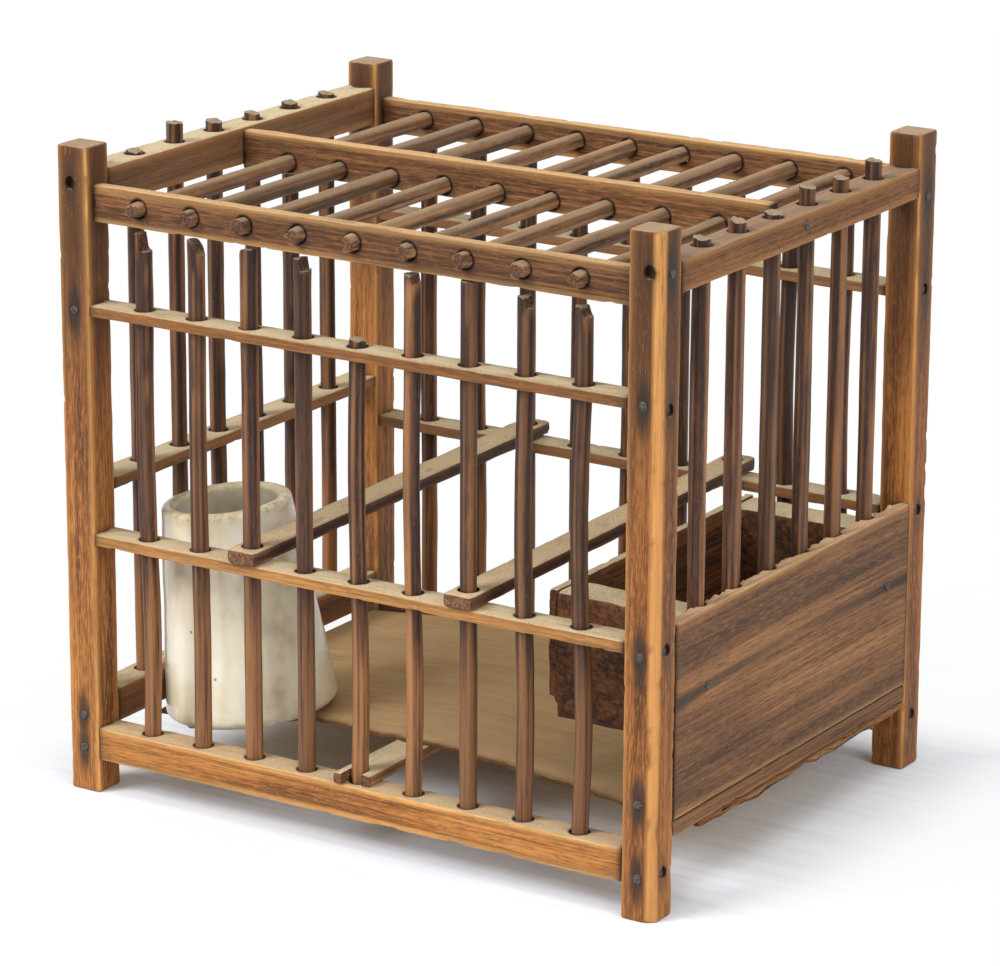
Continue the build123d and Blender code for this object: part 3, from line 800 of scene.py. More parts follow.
@dataclass(frozen=True)
class WoodFinish:
    """Old softwood: growth bands and streaks along the grain, worn edges, dirt, iron and dust,
    with painted shade and highlights.

    Attributes:
        name: the material's name.
        way: axis of the grain.
        pale: colour of the brightest streaks.
        mid: main colour.
        deep: colour of the darkest streaks.
        worn: colour of worn edges, and of the painted highlights on the bars' ridges.
        dust: colour of the dust on what faces up.
        dusty: how much dust lies there.
        bands: how strongly the growth bands show.
        band_width: distance between bands.
        relief: depth of the grain's relief, in millimetres.
        rough: mean roughness.
        holes: rows of bar holes, each with a dark ring of painted shade and dirt.
        streaks: how fine the streaks are, in streaks a millimetre across the grain.
        bottom_glow: brightens what lies below this height, or None.
        end_pale: brightest colour of the end grain.
        end_mid: main colour of the end grain.
        end_deep: darkest colour of the end grain.
        blotch: how much of the tone follows broad patches instead of streaks.
        softness: how gently the tone runs from dark to bright.
        drift: how far the growth bands wander, in millimetres.
        pith: where the tree's middle runs, across the grain, in millimetres.
        cracks: how strongly the drying cracks show.
        nicks: how strongly the small bright nicks show.
        grain: how strongly the fine fibres show.
        crown: how much darker the piece is at the top of the cage.
    """

    name: str
    way: Way
    pale: Colour
    mid: Colour
    deep: Colour
    worn: Colour
    dust: Colour = colour(216, 198, 162)
    dusty: float = 0.93
    bands: float = 0.35
    band_width: float = 1.7
    relief: float = 0.1
    rough: float = 0.62
    holes: HoleRow = HoleRow.NONE
    streaks: float = 0.5
    bottom_glow: float | None = None
    end_pale: Colour = colour(170, 118, 74)
    end_mid: Colour = colour(122, 78, 48)
    end_deep: Colour = colour(54, 37, 28)
    blotch: float = 0.38
    softness: float = 0.16
    drift: float = 9.0
    pith: tuple[float, float] = (-61.0, 47.0)
    cracks: float = 0.7
    nicks: float = 0.3
    grain: float = 1.0
    crown: float = 0.0

    def make(self) -> bpy.types.Material:
        """Builds the material.

        Bands are the sine of the distance from a far-off pith, warped by long noise. Streaks
        and fibres are noise stretched along the grain. Worn edges, iron stains, black dirt and
        end grain follow the numbers painted on the mesh, and dust follows the normal. On the bars
        the worn edges are painted highlights on the ridges, and the black in sunk holes and round
        bars is painted shade.

        Returns:
            The material.
        """
        p = Painter.of_material(self.name)
        place = p.place()
        parts = p.parts(place)
        a, b = self.way.across
        drift = p.noise(p.stretch(place, self.way.spread(0.06, 0.006)), 2.0)
        away_a, away_b = parts[a] - self.pith[0], parts[b] - self.pith[1]
        pith = (away_a ** 2 + away_b ** 2) ** 0.5 + drift * self.drift
        ring = (pith * (2 * math.pi / self.band_width)).sine() * 0.5 + 0.5
        broad = p.noise(p.stretch(place, self.way.spread(0.11, 0.011)), 2.0)
        streak = p.noise(
            p.stretch(place, self.way.spread(self.streaks, 0.016)), 3.0, 0.6, 0.4)
        fibre = p.noise(p.stretch(place, self.way.spread(2.1, 0.22)), 3.0, 0.62)
        tone = (streak * (1 - self.blotch) + broad * self.blotch).ease(
            0.5 - self.softness, 0.5 + self.softness)
        shade = p.ramp(tone, ((0.0, self.deep), (0.45, self.mid), (1.0, self.pale)))
        band = (ring ** 2.5) * self.bands
        shade = p.mix(band, shade, self.deep)
        shade = p.mix(fibre.ease(0.5, 0.64) * 0.42 * self.grain, shade, self.deep)
        shade = p.mix(fibre.ease(0.5, 0.36) * 0.36 * self.grain, shade, self.pale)
        if self.crown:
            high = parts[2].ease(96, 176) * (0.6 + broad * 0.8) * self.crown
            shade = p.mix(high, shade, self.deep)
        if self.bottom_glow is not None:
            low = parts[2].ease(self.bottom_glow + 12, self.bottom_glow - 12)
            shade = p.mix(low * streak.ease(0.3, 0.6) * 0.75, shade, self.worn)
        check = p.noise(p.stretch(place, self.way.spread(1.3, 0.022)), 1.0, 0.5)
        crack = abs(check - 0.5).ease(0.012, 0.002) * broad.ease(0.42, 0.56) * self.cracks
        shade = p.mix(crack * 0.75, shade, self.end_deep)
        fleck = p.noise(p.stretch(place, self.way.spread(1.5, 0.4)), 2.0, 0.6)
        nicked = fleck.ease(0.66, 0.72) * self.nicks
        shade = p.mix(nicked * 0.8, shade, self.worn)
        # Lighter with the worn colour where the mesh is worn; on the bars that is a painted
        # highlight on the ridges.
        rubbed_and_highlight = p.kept("wear_and_highlight") * (streak * 0.8 + fibre * 0.7).ease(0.35, 0.8)
        shade = p.mix(rubbed_and_highlight * 0.9, shade, self.worn)
        sawn = p.kept("end")
        pits = p.noise(p.stretch(place, (1.5, 1.5, 1.5)), 3.0, 0.7)
        ends = p.ramp(pits, ((0.36, self.end_deep), (0.5, self.end_mid), (0.62, self.end_pale)))
        shade = p.mix(sawn * 0.85, shade, ends)
        iron = (p.kept("iron") * (streak * 0.9 + 0.55)).ease(0.1, 0.75)
        shade = p.mix(iron * 0.88, shade, colour(44, 36, 31))
        # Black kept on the mesh: painted shade in the sunk nail holes, dirt and darkening
        # elsewhere.
        grime_and_shade = p.kept("grime_and_shade")
        # The ring round each bar hole: painted shade of the gap round the bar, and dirt.
        ring_shade_and_dirt = self.hole_rings(parts, fibre)
        if ring_shade_and_dirt is not None:
            grime_and_shade = grime_and_shade.most(ring_shade_and_dirt)
        lying = p.upward().ease(0.45, 0.9)
        patch = p.noise(p.stretch(place, self.way.spread(0.24, 0.07)), 3.0, 0.65)
        grit = p.noise(p.stretch(place, (2.6, 2.6, 2.6)), 2.0, 0.7)
        cover = lying * (patch.ease(0.22, 0.5) * 0.45 + 0.55) * self.dusty
        cover = cover * (1 - p.kept("wear_and_highlight") * 0.35)
        powder = p.mix(grit.ease(0.45, 0.66), self.dust, p.mix(0.45, self.dust, self.mid))
        shade = p.mix(cover, shade, powder)
        # Near-black: painted shade in the holes and bar rings, and the dirt and darkening painted
        # on the mesh.
        shade = p.mix(grime_and_shade * 0.92, shade, colour(34, 24, 19))
        rough = (fibre * 0.16 + (self.rough - 0.08)) + cover * 0.22
        height = ring * (0.45 * self.bands + 0.1) + fibre * 0.45 + streak * 0.3
        height = height + sawn * pits * 1.2 + grit * cover * 0.35 - crack * 0.9 - nicked * 0.5
        return p.finish(p.surface(
            shade, rough.least(1.0), height, self.relief, Specular_IOR_Level=0.22))

    def hole_rings(self, parts: tuple[Value, Value, Value], fibre: Value) -> Value | None:
        """The dark ring round each bar, painted shade of the gap round it and dirt: near in the
        plane across the bars.

        Args:
            parts: object coordinates in millimetres.
            fibre: fine noise that makes the ring uneven.

        Returns:
            1 in the hole and its ring, 0 away from it, or None where there are no holes.
        """
        x, y, z = parts
        if self.holes is HoleRow.NONE:
            return None
        if self.holes is HoleRow.ENDS:
            row = (y / SIDE_BAR_PITCH - 0.5).nearest() * SIDE_BAR_PITCH + SIDE_BAR_PITCH / 2
            across = y - row
            deep = abs(x) - SIDE_BAR_LINE
        else:
            across = x - (x / FRONT_BAR_PITCH).nearest() * FRONT_BAR_PITCH
            if self.holes is HoleRow.LONG_SIDES:
                deep = abs(y) - FRONT_BAR_LINE
            else:
                deep = z - ROOF_BAR_HEIGHT
        away = (across * across + deep * deep) ** 0.5 + (fibre - 0.5) * 0.8
        return away.ease(BAR_HOLE_RADIUS + 0.75, BAR_HOLE_RADIUS + 0.15)


@dataclass(frozen=True)
class GlazeFinish:
    """Cream stoneware glaze: pale, mostly free of dirt, dirty on the rim, with a few dark specks;
    its clouds hold painted shade and reflection, and its inside painted shade.
    """

    name: str = "cream_glaze"

    def make(self) -> bpy.types.Material:
        """Builds the material: cream, with soft brown clouds that are partly painted shade and
        reflection, specks, a grey worn rim, and painted shade inside.

        Returns:
            The material.
        """
        p = Painter.of_material(self.name)
        place = p.place()
        # Darker clouds: partly the glaze's own tone, partly painted shade and reflection, laid by
        # noise.
        glaze_tone_and_shade = p.noise(p.stretch(place, (0.05, 0.05, 0.035)), 3.0, 0.6)
        shade = p.ramp(glaze_tone_and_shade, (
            (0.34, colour(206, 192, 164)), (0.48, colour(243, 232, 202)),
            (0.66, colour(255, 250, 229))))
        speck = p.specks(p.stretch(place, (0.16, 0.16, 0.16)))
        near = p.noise(p.stretch(place, (0.07, 0.07, 0.07)), 1.0)
        shade = p.mix(speck.ease(0.1, 0.055) * near.ease(0.4, 0.55) * 0.7, shade,
                      colour(96, 78, 62))
        dirt = p.noise(p.stretch(place, (0.35, 0.35, 0.35)), 4.0, 0.7)
        rim = p.kept("rim")
        shade = p.mix(rim * (dirt.ease(0.36, 0.62) * 0.55 + 0.25), shade, colour(206, 182, 130))
        shade = p.mix(rim * dirt.ease(0.56, 0.7) * 0.6, shade, colour(140, 104, 62))
        # The inside is greyed: painted shade.
        inside = p.kept("inside")
        shade = p.mix(inside * 0.45, shade, colour(196, 194, 180))
        foot = p.kept("foot")
        shade = p.mix(foot * dirt.ease(0.3, 0.7) * 0.6, shade, colour(168, 150, 124))
        rough = dirt * 0.12 + rim * 0.22 + 0.1
        ripple = p.noise(p.stretch(place, (0.03, 0.03, 0.16)), 2.0)
        return p.finish(p.surface(shade, rough.least(1.0), ripple, 0.5, Coat_Weight=0.4,
                                  Coat_Roughness=0.06, Specular_IOR_Level=0.5))


@dataclass(frozen=True)
class IronFinish:
    """Hammered nail heads: dull dark grey, worn a little brighter, with rust in the pits."""

    name: str = "old_iron"

    def make(self) -> bpy.types.Material:
        """Builds the material from fine noise alone.

        Returns:
            The material.
        """
        p = Painter.of_material(self.name)
        place = p.place()
        pit = p.noise(p.stretch(place, (1.6, 1.6, 1.6)), 3.0, 0.65)
        shade = p.ramp(pit, (
            (0.34, colour(42, 34, 31)), (0.5, colour(68, 65, 64)), (0.66, colour(104, 101, 99))))
        rough = 0.8 - pit * 0.35
        return p.finish(p.surface(shade, rough, pit, 0.12, Metallic=0.45))


@dataclass(frozen=True)
class TableFinish:
    """The pale table under the cage.

    Attributes:
        name: the material's name.
        half_width: half the width of the cage's shadowed place, in millimetres.
        half_depth: half its depth.
        lift_from: how far outside it the white glow over the shadow begins; less than 0 is inside.
        lift_full_at: how far outside it that glow is whole.
        lift_most: the share of the glow there.
    """

    name: str = "table_white"
    half_width: float = 100.0
    half_depth: float = 78.0
    lift_from: float = -8.0
    lift_full_at: float = 44.0
    lift_most: float = 0.92

    def make(self) -> bpy.types.Material:
        """Builds a white with faint streaks that glows white for the camera and reflections away
        from the cage: painted light over its shadow there.

        Returns:
            The material.
        """
        p = Painter.of_material(self.name)
        place = p.place()
        x, y, _ = p.parts(place)
        streak = p.noise(p.stretch(place, (0.012, 0.22, 0.2)), 2.0, 0.6)
        # The bluish white shows in the cage's shadow near it: a painted cool tint for that shadow.
        shade = p.ramp(streak, ((0.35, colour(232, 238, 250)), (0.65, colour(246, 250, 255))))
        # Away from the cage a white glow paints out the shadow for the camera and reflections.
        beside = (abs(x) - self.half_width).most(abs(y) - self.half_depth)
        shadow_lift = beside.ease(self.lift_from, self.lift_full_at) * self.lift_most
        return p.finish(p.made("ShaderNodeMixShader", {}, {
            0: p.seen() * shadow_lift,
            1: p.surface(shade, streak * 0.1 + 0.7, Specular_IOR_Level=0.2),
            2: p.made("ShaderNodeEmission", {}, {"Color": WHITE})}))


class Woods:
    """The finishes of the wooden pieces, made once and shared."""

    def __init__(self) -> None:
        """Makes every wood of the cage."""
        bar_ends = {"end_pale": colour(130, 84, 54), "end_mid": colour(84, 54, 38),
                    "end_deep": colour(36, 26, 21)}
        self.left_post = WoodFinish(
            "post_pine_left", Way.Z, colour(200, 132, 65), colour(146, 90, 45),
            colour(70, 43, 27), colour(222, 162, 93), bands=0.2, streaks=0.7, relief=0.16,
            rough=0.55, blotch=0.6, softness=0.2, dusty=0.4, crown=0.88, grain=1.2).make()
        self.right_post = WoodFinish(
            "post_pine_right", Way.Z, colour(186, 120, 58), colour(130, 78, 38),
            colour(60, 38, 24), colour(214, 152, 86), bands=0.2, streaks=0.7, relief=0.16,
            rough=0.52, blotch=0.6, softness=0.2, dusty=0.4, crown=0.78, grain=1.2).make()
        self.front_rail = WoodFinish(
            "rail_pine_front", Way.X, colour(200, 136, 68), colour(156, 97, 46),
            colour(90, 54, 29), colour(226, 176, 106), holes=HoleRow.LONG_SIDES, bands=0.3,
            band_width=2.4, streaks=0.8, rough=0.52, relief=0.16, dusty=0.85,
            dust=colour(202, 182, 148), softness=0.2).make()
        self.front_middle = WoodFinish(
            "lath_pine_middle", Way.X, colour(186, 120, 60), colour(130, 78, 38),
            colour(64, 40, 25), colour(205, 152, 89), holes=HoleRow.LONG_SIDES, bands=0.4,
            band_width=1.6, streaks=1.1, rough=0.52, relief=0.2, softness=0.16,
            grain=1.5).make()
        self.front_upper = WoodFinish(
            "lath_pine_upper", Way.X, colour(164, 104, 52), colour(108, 64, 33),
            colour(50, 32, 20), colour(162, 112, 63), holes=HoleRow.LONG_SIDES, bands=0.4,
            band_width=1.6, streaks=1.1, rough=0.52, relief=0.2, softness=0.16,
            grain=1.5).make()
        # A darker copy of the rail wood for the rear rails: painted shade.
        self.rear_rail_shaded = WoodFinish(
            "rail_pine_rear_shaded", Way.X, colour(146, 100, 64), colour(102, 69, 46),
            colour(54, 38, 28), colour(184, 132, 84), holes=HoleRow.LONG_SIDES,
            streaks=0.8, softness=0.2).make()
        self.left_rail = WoodFinish(
            "rail_pine_left", Way.Y, colour(150, 106, 71), colour(112, 79, 53),
            colour(64, 46, 33), colour(196, 138, 78), holes=HoleRow.ENDS, bands=0.1,
            streaks=0.7, rough=0.5, relief=0.07, softness=0.3, grain=0.5).make()
        self.right_rail = WoodFinish(
            "rail_pine_right", Way.Y, colour(146, 96, 54), colour(104, 66, 37),
            colour(62, 41, 28), colour(190, 138, 84), holes=HoleRow.ENDS, bands=0.25,
            streaks=0.8, relief=0.16, dusty=0.6, dust=colour(168, 146, 122),
            softness=0.22, blotch=0.5).make()
        self.roof_rail = WoodFinish(
            "rail_pine_roof", Way.X, colour(158, 106, 63), colour(104, 67, 41),
            colour(54, 36, 24), colour(214, 166, 106), holes=HoleRow.ROOF, bands=0.34,
            band_width=1.7, relief=0.34, rough=0.7, dusty=0.8, streaks=0.8, blotch=0.5,
            softness=0.24, dust=colour(228, 190, 140)).make()
        self.bar = WoodFinish(
            "bar_wood", Way.Z, colour(110, 75, 56), colour(66, 47, 41), colour(38, 28, 26),
            colour(164, 112, 70), bands=0.05, streaks=1.3, rough=0.42, dusty=0.45,
            bottom_glow=66.0, blotch=0.4, softness=0.2, crown=0.5, **bar_ends).make()
        self.roof_bar = WoodFinish(
            "bar_wood_roof", Way.Y, colour(146, 108, 76), colour(100, 71, 51),
            colour(54, 39, 31), colour(188, 138, 92), bands=0.15, streaks=1.1, rough=0.6,
            dusty=0.55, dust=colour(180, 156, 128), **bar_ends).make()
        self.perch = WoodFinish(
            "perch_wood", Way.Y, colour(96, 66, 48), colour(64, 45, 36), colour(40, 30, 26),
            colour(150, 106, 72), holes=HoleRow.LONG_SIDES, dusty=0.97, bands=0.2,
            dust=colour(218, 192, 154), end_pale=colour(150, 106, 70),
            end_mid=colour(112, 76, 50), end_deep=colour(66, 46, 33)).make()
        self.end_board = WoodFinish(
            "board_pine", Way.Y, colour(166, 116, 73), colour(114, 77, 49), colour(60, 42, 30),
            colour(198, 146, 91), bands=0.62, band_width=2.5, relief=0.45, rough=0.6,
            streaks=0.8, blotch=0.6, softness=0.22, drift=1.8, pith=(70.0, -260.0), grain=0.8,
            dust=colour(222, 186, 148), holes=HoleRow.ENDS).make()
        self.strip = WoodFinish(
            "strip_pine", Way.Y, colour(138, 96, 61), colour(94, 63, 43), colour(54, 38, 28),
            colour(172, 120, 74), bands=0.5, relief=0.2, streaks=1.0, softness=0.2).make()
        self.seed_box = WoodFinish(
            "box_wood", Way.Y, colour(132, 81, 46), colour(84, 53, 32), colour(36, 26, 20),
            colour(140, 96, 58), dusty=0.93, rough=0.66, holes=HoleRow.ENDS,
            end_pale=colour(100, 64, 39), end_mid=colour(78, 50, 33),
            end_deep=colour(40, 28, 21)).make()
        self.floor = WoodFinish(
            "floor_wood", Way.X, colour(214, 178, 123), colour(188, 150, 100),
            colour(144, 108, 71), colour(136, 84, 45), dusty=0.55, bands=0.06, streaks=0.5,
            rough=0.85, dust=colour(196, 168, 130), softness=0.32, grain=0.6, blotch=0.5,
            cracks=0.3).make()
        self.batten = WoodFinish(
            "batten_wood", Way.Y, colour(172, 120, 74), colour(128, 86, 54),
            colour(66, 46, 34), colour(200, 150, 100), **bar_ends).make()


class Face(Enum):
    """The side of a post that a mark is on, as axis and direction."""

    FRONT = (1, -1)
    REAR = (1, 1)
    LEFT = (0, -1)
    RIGHT = (0, 1)


@dataclass(frozen=True)
class Mark:
    """A nail or a sunk nail's hole on a post, by its place on one face.

    Attributes:
        face: the face that it is on.
        across: its place along the face's level axis.
        height: its height.
        sunk: whether its head lies in a hole.
    """

    face: Face
    across: float
    height: float
    sunk: bool = False

    def level(self, low: Array, high: Array) -> float:
        """Where its face lies, along the axis that the face looks along."""
        axis, side = self.face.value
        return (low if side < 0 else high)[axis]

    def away(self, places: Array, low: Array, high: Array, deep: float) -> tuple[Array, Array]:
        """How far points are from it along its face.

        Args:
            places: the points.
            low: the post's lowest corner.
            high: its highest corner.
            deep: how far from the face a point may lie.

        Returns:
            Distances across and up, with 99 more across for the points off the face.
        """
        axis = self.face.value[0]
        off = np.abs(places[:, axis] - self.level(low, high)) >= deep
        across = np.abs(places[:, 1 - axis] - self.across) + np.where(off, 99.0, 0.0)
        return across, np.abs(places[:, 2] - self.height)

    def middle(self, low: Array, high: Array, out: float) -> Array:
        """Its middle, a distance out from its face.

        Args:
            low: the post's lowest corner.
            high: its highest corner.
            out: distance out of the wood, less than 0 for inside it.

        Returns:
            The point.
        """
        axis, side = self.face.value
        middle = np.zeros(3)
        middle[1 - axis] = self.across
        middle[2] = self.height
        middle[axis] = self.level(low, high) + side * out
        return middle


@dataclass
class Posts:
    """The four corner posts with their iron stains and holes.

    Attributes:
        worn_edge: radius of the worn edge of the front right post.
        plain_edge: radius of the other edges.
        stain_width: how wide an iron stain is.
        stain_length: how far it runs along the grain.
        hole_radius: radius of a sunk nail's hole.
        hole_depth: its depth.
        hole_stretch: how much taller than wide it is.
        over: how far its cutter stands out of the wood.
    """

    woods: Woods
    worn_edge: float = 3.4
    plain_edge: float = 0.8
    stain_width: float = 2.6
    stain_length: float = 10.0
    hole_radius: float = 1.6
    hole_depth: float = 1.6
    hole_stretch: float = 1.35
    over: float = 0.8

    def marks(self) -> dict[str, tuple[Mark, ...]]:
        """The nails and holes of each post, from the front and the sides.

        Returns:
            Marks by the frame node of their post.
        """
        return {
            "post_front_left": (
                Mark(Face.FRONT, -97.5, 13.9), Mark(Face.FRONT, -97.5, 24.2),
                Mark(Face.FRONT, -97.5, 150.6), Mark(Face.LEFT, -75.5, 26.0),
                Mark(Face.LEFT, -75.5, 95.4), Mark(Face.LEFT, -75.5, 186.6),
                Mark(Face.FRONT, -98.1, 188.9, True)),
            "post_front_right": (
                Mark(Face.FRONT, 97.5, 12.9), Mark(Face.FRONT, 97.5, 35.1),
                Mark(Face.FRONT, 97.5, 78.5), Mark(Face.FRONT, 97.5, 150.8),
                Mark(Face.FRONT, 98.9, 188.6, True), Mark(Face.RIGHT, -75.5, 14.1, True),
                Mark(Face.RIGHT, -75.5, 80.1, True), Mark(Face.RIGHT, -75.5, 149.2, True),
                Mark(Face.RIGHT, -75.5, 187.5)),
            "post_rear_left": (
                Mark(Face.REAR, -97.5, 15.6), Mark(Face.REAR, -97.5, 82.0),
                Mark(Face.REAR, -97.5, 151.0), Mark(Face.LEFT, 75.5, 24.6),
                Mark(Face.LEFT, 75.5, 95.2), Mark(Face.LEFT, 75.5, 186.4)),
            "post_rear_right": (
                Mark(Face.REAR, 97.5, 15.2), Mark(Face.REAR, 97.5, 82.2),
                Mark(Face.REAR, 97.5, 151.2), Mark(Face.RIGHT, 75.5, 16.7, True),
                Mark(Face.RIGHT, 75.5, 82.6, True), Mark(Face.RIGHT, 75.5, 151.7, True),
                Mark(Face.RIGHT, 75.5, 180.4)),
        }

    def build(self) -> None:
        """Builds the posts, one piece each."""
        for seed, (node, marks) in enumerate(self.marks().items()):
            low, high = corners_of(node)
            edges = [self.plain_edge] * 4
            if node == "post_front_right":
                edges[0] = self.worn_edge
            stick = Stick(low, high, Way.Z, tuple(edges), chew=0.22, waver=0.12, step=0.9,
                          girth=1.0, seed=31 + seed, end=0.75)
            piece = join_rings(node + "_wood", [stick.rings()])
            sunk = [mark for mark in marks if mark.sunk]
            if sunk:
                drill(piece, [self.sink(mark, low, high) for mark in sunk])
            places = places_of(piece.data)
            corner = (high[0] - places[:, 0]) + (places[:, 1] - low[1])
            rubbed_and_highlight = ease(0.95 * edges[0], 0.7 * edges[0], corner) * 0.95
            # The last number is painted shade: black in the sunk holes.
            weather(piece, np.maximum(edge_wear(places, low, high, Way.Z, 0.8), rubbed_and_highlight),
                    ease(0.4, 0.1, from_ends(places, low, high, Way.Z)),
                    self.stains(places, marks, low, high), self.darkening(places, sunk, low, high))
            smooth_sides(piece)
            finish = self.woods.left_post if "left" in node else self.woods.right_post
            set_down(piece, finish, "cage", "post_pine", node)

    def sink(self, mark: Mark, low: Array, high: Array) -> Array:
        """Shapes the cutter of a sunk nail's hole, a little taller than wide.

        Args:
            mark: the sunk nail.
            low: the post's lowest corner.
            high: its highest corner.

        Returns:
            Rings of the cutter.
        """
        axis, side = mark.face.value
        start = mark.middle(low, high, self.over if side < 0 else -self.hole_depth)
        rings = pin(start, Way(axis), self.hole_depth + self.over, self.hole_radius, 16)
        rings[..., 2] = mark.height + (rings[..., 2] - mark.height) * self.hole_stretch
        return rings

    def stains(self, places: Array, marks: tuple[Mark, ...], low: Array, high: Array) -> Array:
        """Iron stains: a long soft streak along the grain and a round spot at each nail.

        Both are exp(-d^2) of the distance from the nail; the foot is stained all round.

        Args:
            places: the points.
            marks: the post's nails and holes.
            low: the post's lowest corner.
            high: its highest corner.

        Returns:
            How dark each point is.
        """
        total = 0.22 * ease(26, 4, places[:, 2] + 8 * roam(places, (5, 5, 14), 57))
        for mark in marks:
            across, up = mark.away(places, low, high, 1.5)
            streak = np.exp(-(across / self.stain_width) ** 2 - (up / self.stain_length) ** 2)
            spot = np.exp(-(across ** 2 + up ** 2) / 5.5)
            total = np.maximum(total, np.maximum(0.85 * streak, spot) * (0.6 if mark.sunk else 1))
        return total

    def darkening(self, places: Array, sunk: list[Mark], low: Array, high: Array) -> Array:
        """Painted shade: black in the sunk holes.

        Args:
            places: the points.
            sunk: the marks that are sunk.
            low: the post's lowest corner.
            high: its highest corner.

        Returns:
            How black each point is.
        """
        total = np.zeros(len(places))
        for mark in sunk:
            away = np.hypot(*mark.away(places, low, high, 2.0))
            total = np.maximum(total, ease(self.hole_radius + 0.6, self.hole_radius, away))
        return total


@dataclass
class Rails:
    """The rails of the four sides and the roof, with their bar holes.

    Attributes:
        long_nodes: rails along the front and rear with upright bars through them.
        roof_nodes: rails on edge with the roof bars through them.
        end_nodes: rails along the two ends.
        right_darkened_nodes: thin rails whose front darkens to the right.
        socket_depth: depth of the bar sockets in the bottom rails.
    """

    woods: Woods
    long_nodes: tuple[str, ...] = (
        "front_bottom_rail", "front_middle_rail", "front_upper_rail",
        "rear_bottom_rail", "rear_middle_rail", "rear_upper_rail")
    roof_nodes: tuple[str, ...] = ("front_top_rail", "roof_middle_rail", "rear_top_rail")
    end_nodes: tuple[str, ...] = (
        "left_bottom_rail", "left_middle_rail", "left_top_rail", "right_top_rail")
    right_darkened_nodes: tuple[str, ...] = ("front_upper_rail", "front_top_rail")
    socket_depth: float = 6.9

    def build(self) -> None:
        """Builds every rail, one piece each."""
        for seed, node in enumerate(self.long_nodes):
            low, high = corners_of(node)
            line = math.copysign(FRONT_BAR_LINE, low[1] + high[1])
            pins = self.upright_pins(node, [(x, line) for x in FRONT_BARS])
            self.make(node, Way.X, pins, self.finish_of(node), 51 + seed, 0.24)
        for seed, node in enumerate(self.roof_nodes):
            low, high = corners_of(node)
            pins = [pin(np.array([x, low[1] - 2, ROOF_BAR_HEIGHT]), Way.Y,
                        high[1] - low[1] + 4, BAR_HOLE_RADIUS) for x in FRONT_BARS]
            self.make(node, Way.X, pins, self.woods.roof_rail, 61 + seed, 0.27)
        for seed, node in enumerate(self.end_nodes):
            low, high = corners_of(node)
            line = math.copysign(SIDE_BAR_LINE, low[0] + high[0])
            pins = self.upright_pins(node, [(line, y) for y in SIDE_BARS])
            self.make(node, Way.Y, pins, self.finish_of(node), 71 + seed, 0.21)

    def upright_pins(self, node: str, spots: list[tuple[float, float]]) -> list[Array]:
        """Pins for upright bars: a socket in a bottom rail, a hole through any other.

        Args:
            node: frame node of the rail.
            spots: where the bars stand, as x and y.

        Returns:
            One pin a bar.
        """
        low, high = corners_of(node)
        depth = self.socket_depth if "bottom" in node else high[2] - low[2] + 2
        return [pin(np.array([x, y, high[2] - depth]), Way.Z, depth + 2, BAR_HOLE_RADIUS)
                for x, y in spots]

    def finish_of(self, node: str) -> bpy.types.Material:
        """Picks the wood of a rail: its own on the front, one for all on each other side.

        Args:
            node: frame node of the rail.

        Returns:
            Its material.
        """
        woods = self.woods
        side = node.split("_")[0]
        return {"front_bottom_rail": woods.front_rail, "front_middle_rail": woods.front_middle,
                "front_upper_rail": woods.front_upper, "rear": woods.rear_rail_shaded,
                "left": woods.left_rail, "right": woods.right_rail,
                }[node if side == "front" else side]

    def make(self, node: str, way: Way, pins: list[Array], finish: bpy.types.Material,
             seed: int, chew: float) -> None:
        """Builds one rail, drills it and dresses it.

        Args:
            node: frame node that it stands for.
            way: axis of its length.
            pins: shapes of the holes.
            finish: its material.
            seed: picks how its edges are worn.
            chew: how far its edges are worn.
        """
        low, high = corners_of(node)
        stick = Stick(low, high, way, (0.5, 0.6, 0.6, 0.5), chew=chew, waver=0.07, seed=seed)
        piece = join_rings(node + "_wood", [stick.rings()])
        drill(piece, pins)
        places = places_of(piece.data)
        end = from_ends(places, low, high, way)
        # The fronts of these rails are painted darker towards the right.
        darkening = 0.0
        if node in self.right_darkened_nodes:
            front = ease(low[1] + 0.9, low[1] + 0.3, places[:, 1])
            darkening = ease(-70, 85, places[:, 0]) * front * 0.3
        weather(piece, edge_wear(places, low, high, way, 0.7), ease(0.3, 0.05, end),
                np.exp(-(end / 5.0) ** 2) * 0.35,
                np.maximum(np.exp(-(end / 0.9) ** 2) * 0.8, darkening))
        smooth_sides(piece)
        set_down(piece, finish, "cage", "rail_pine", node)


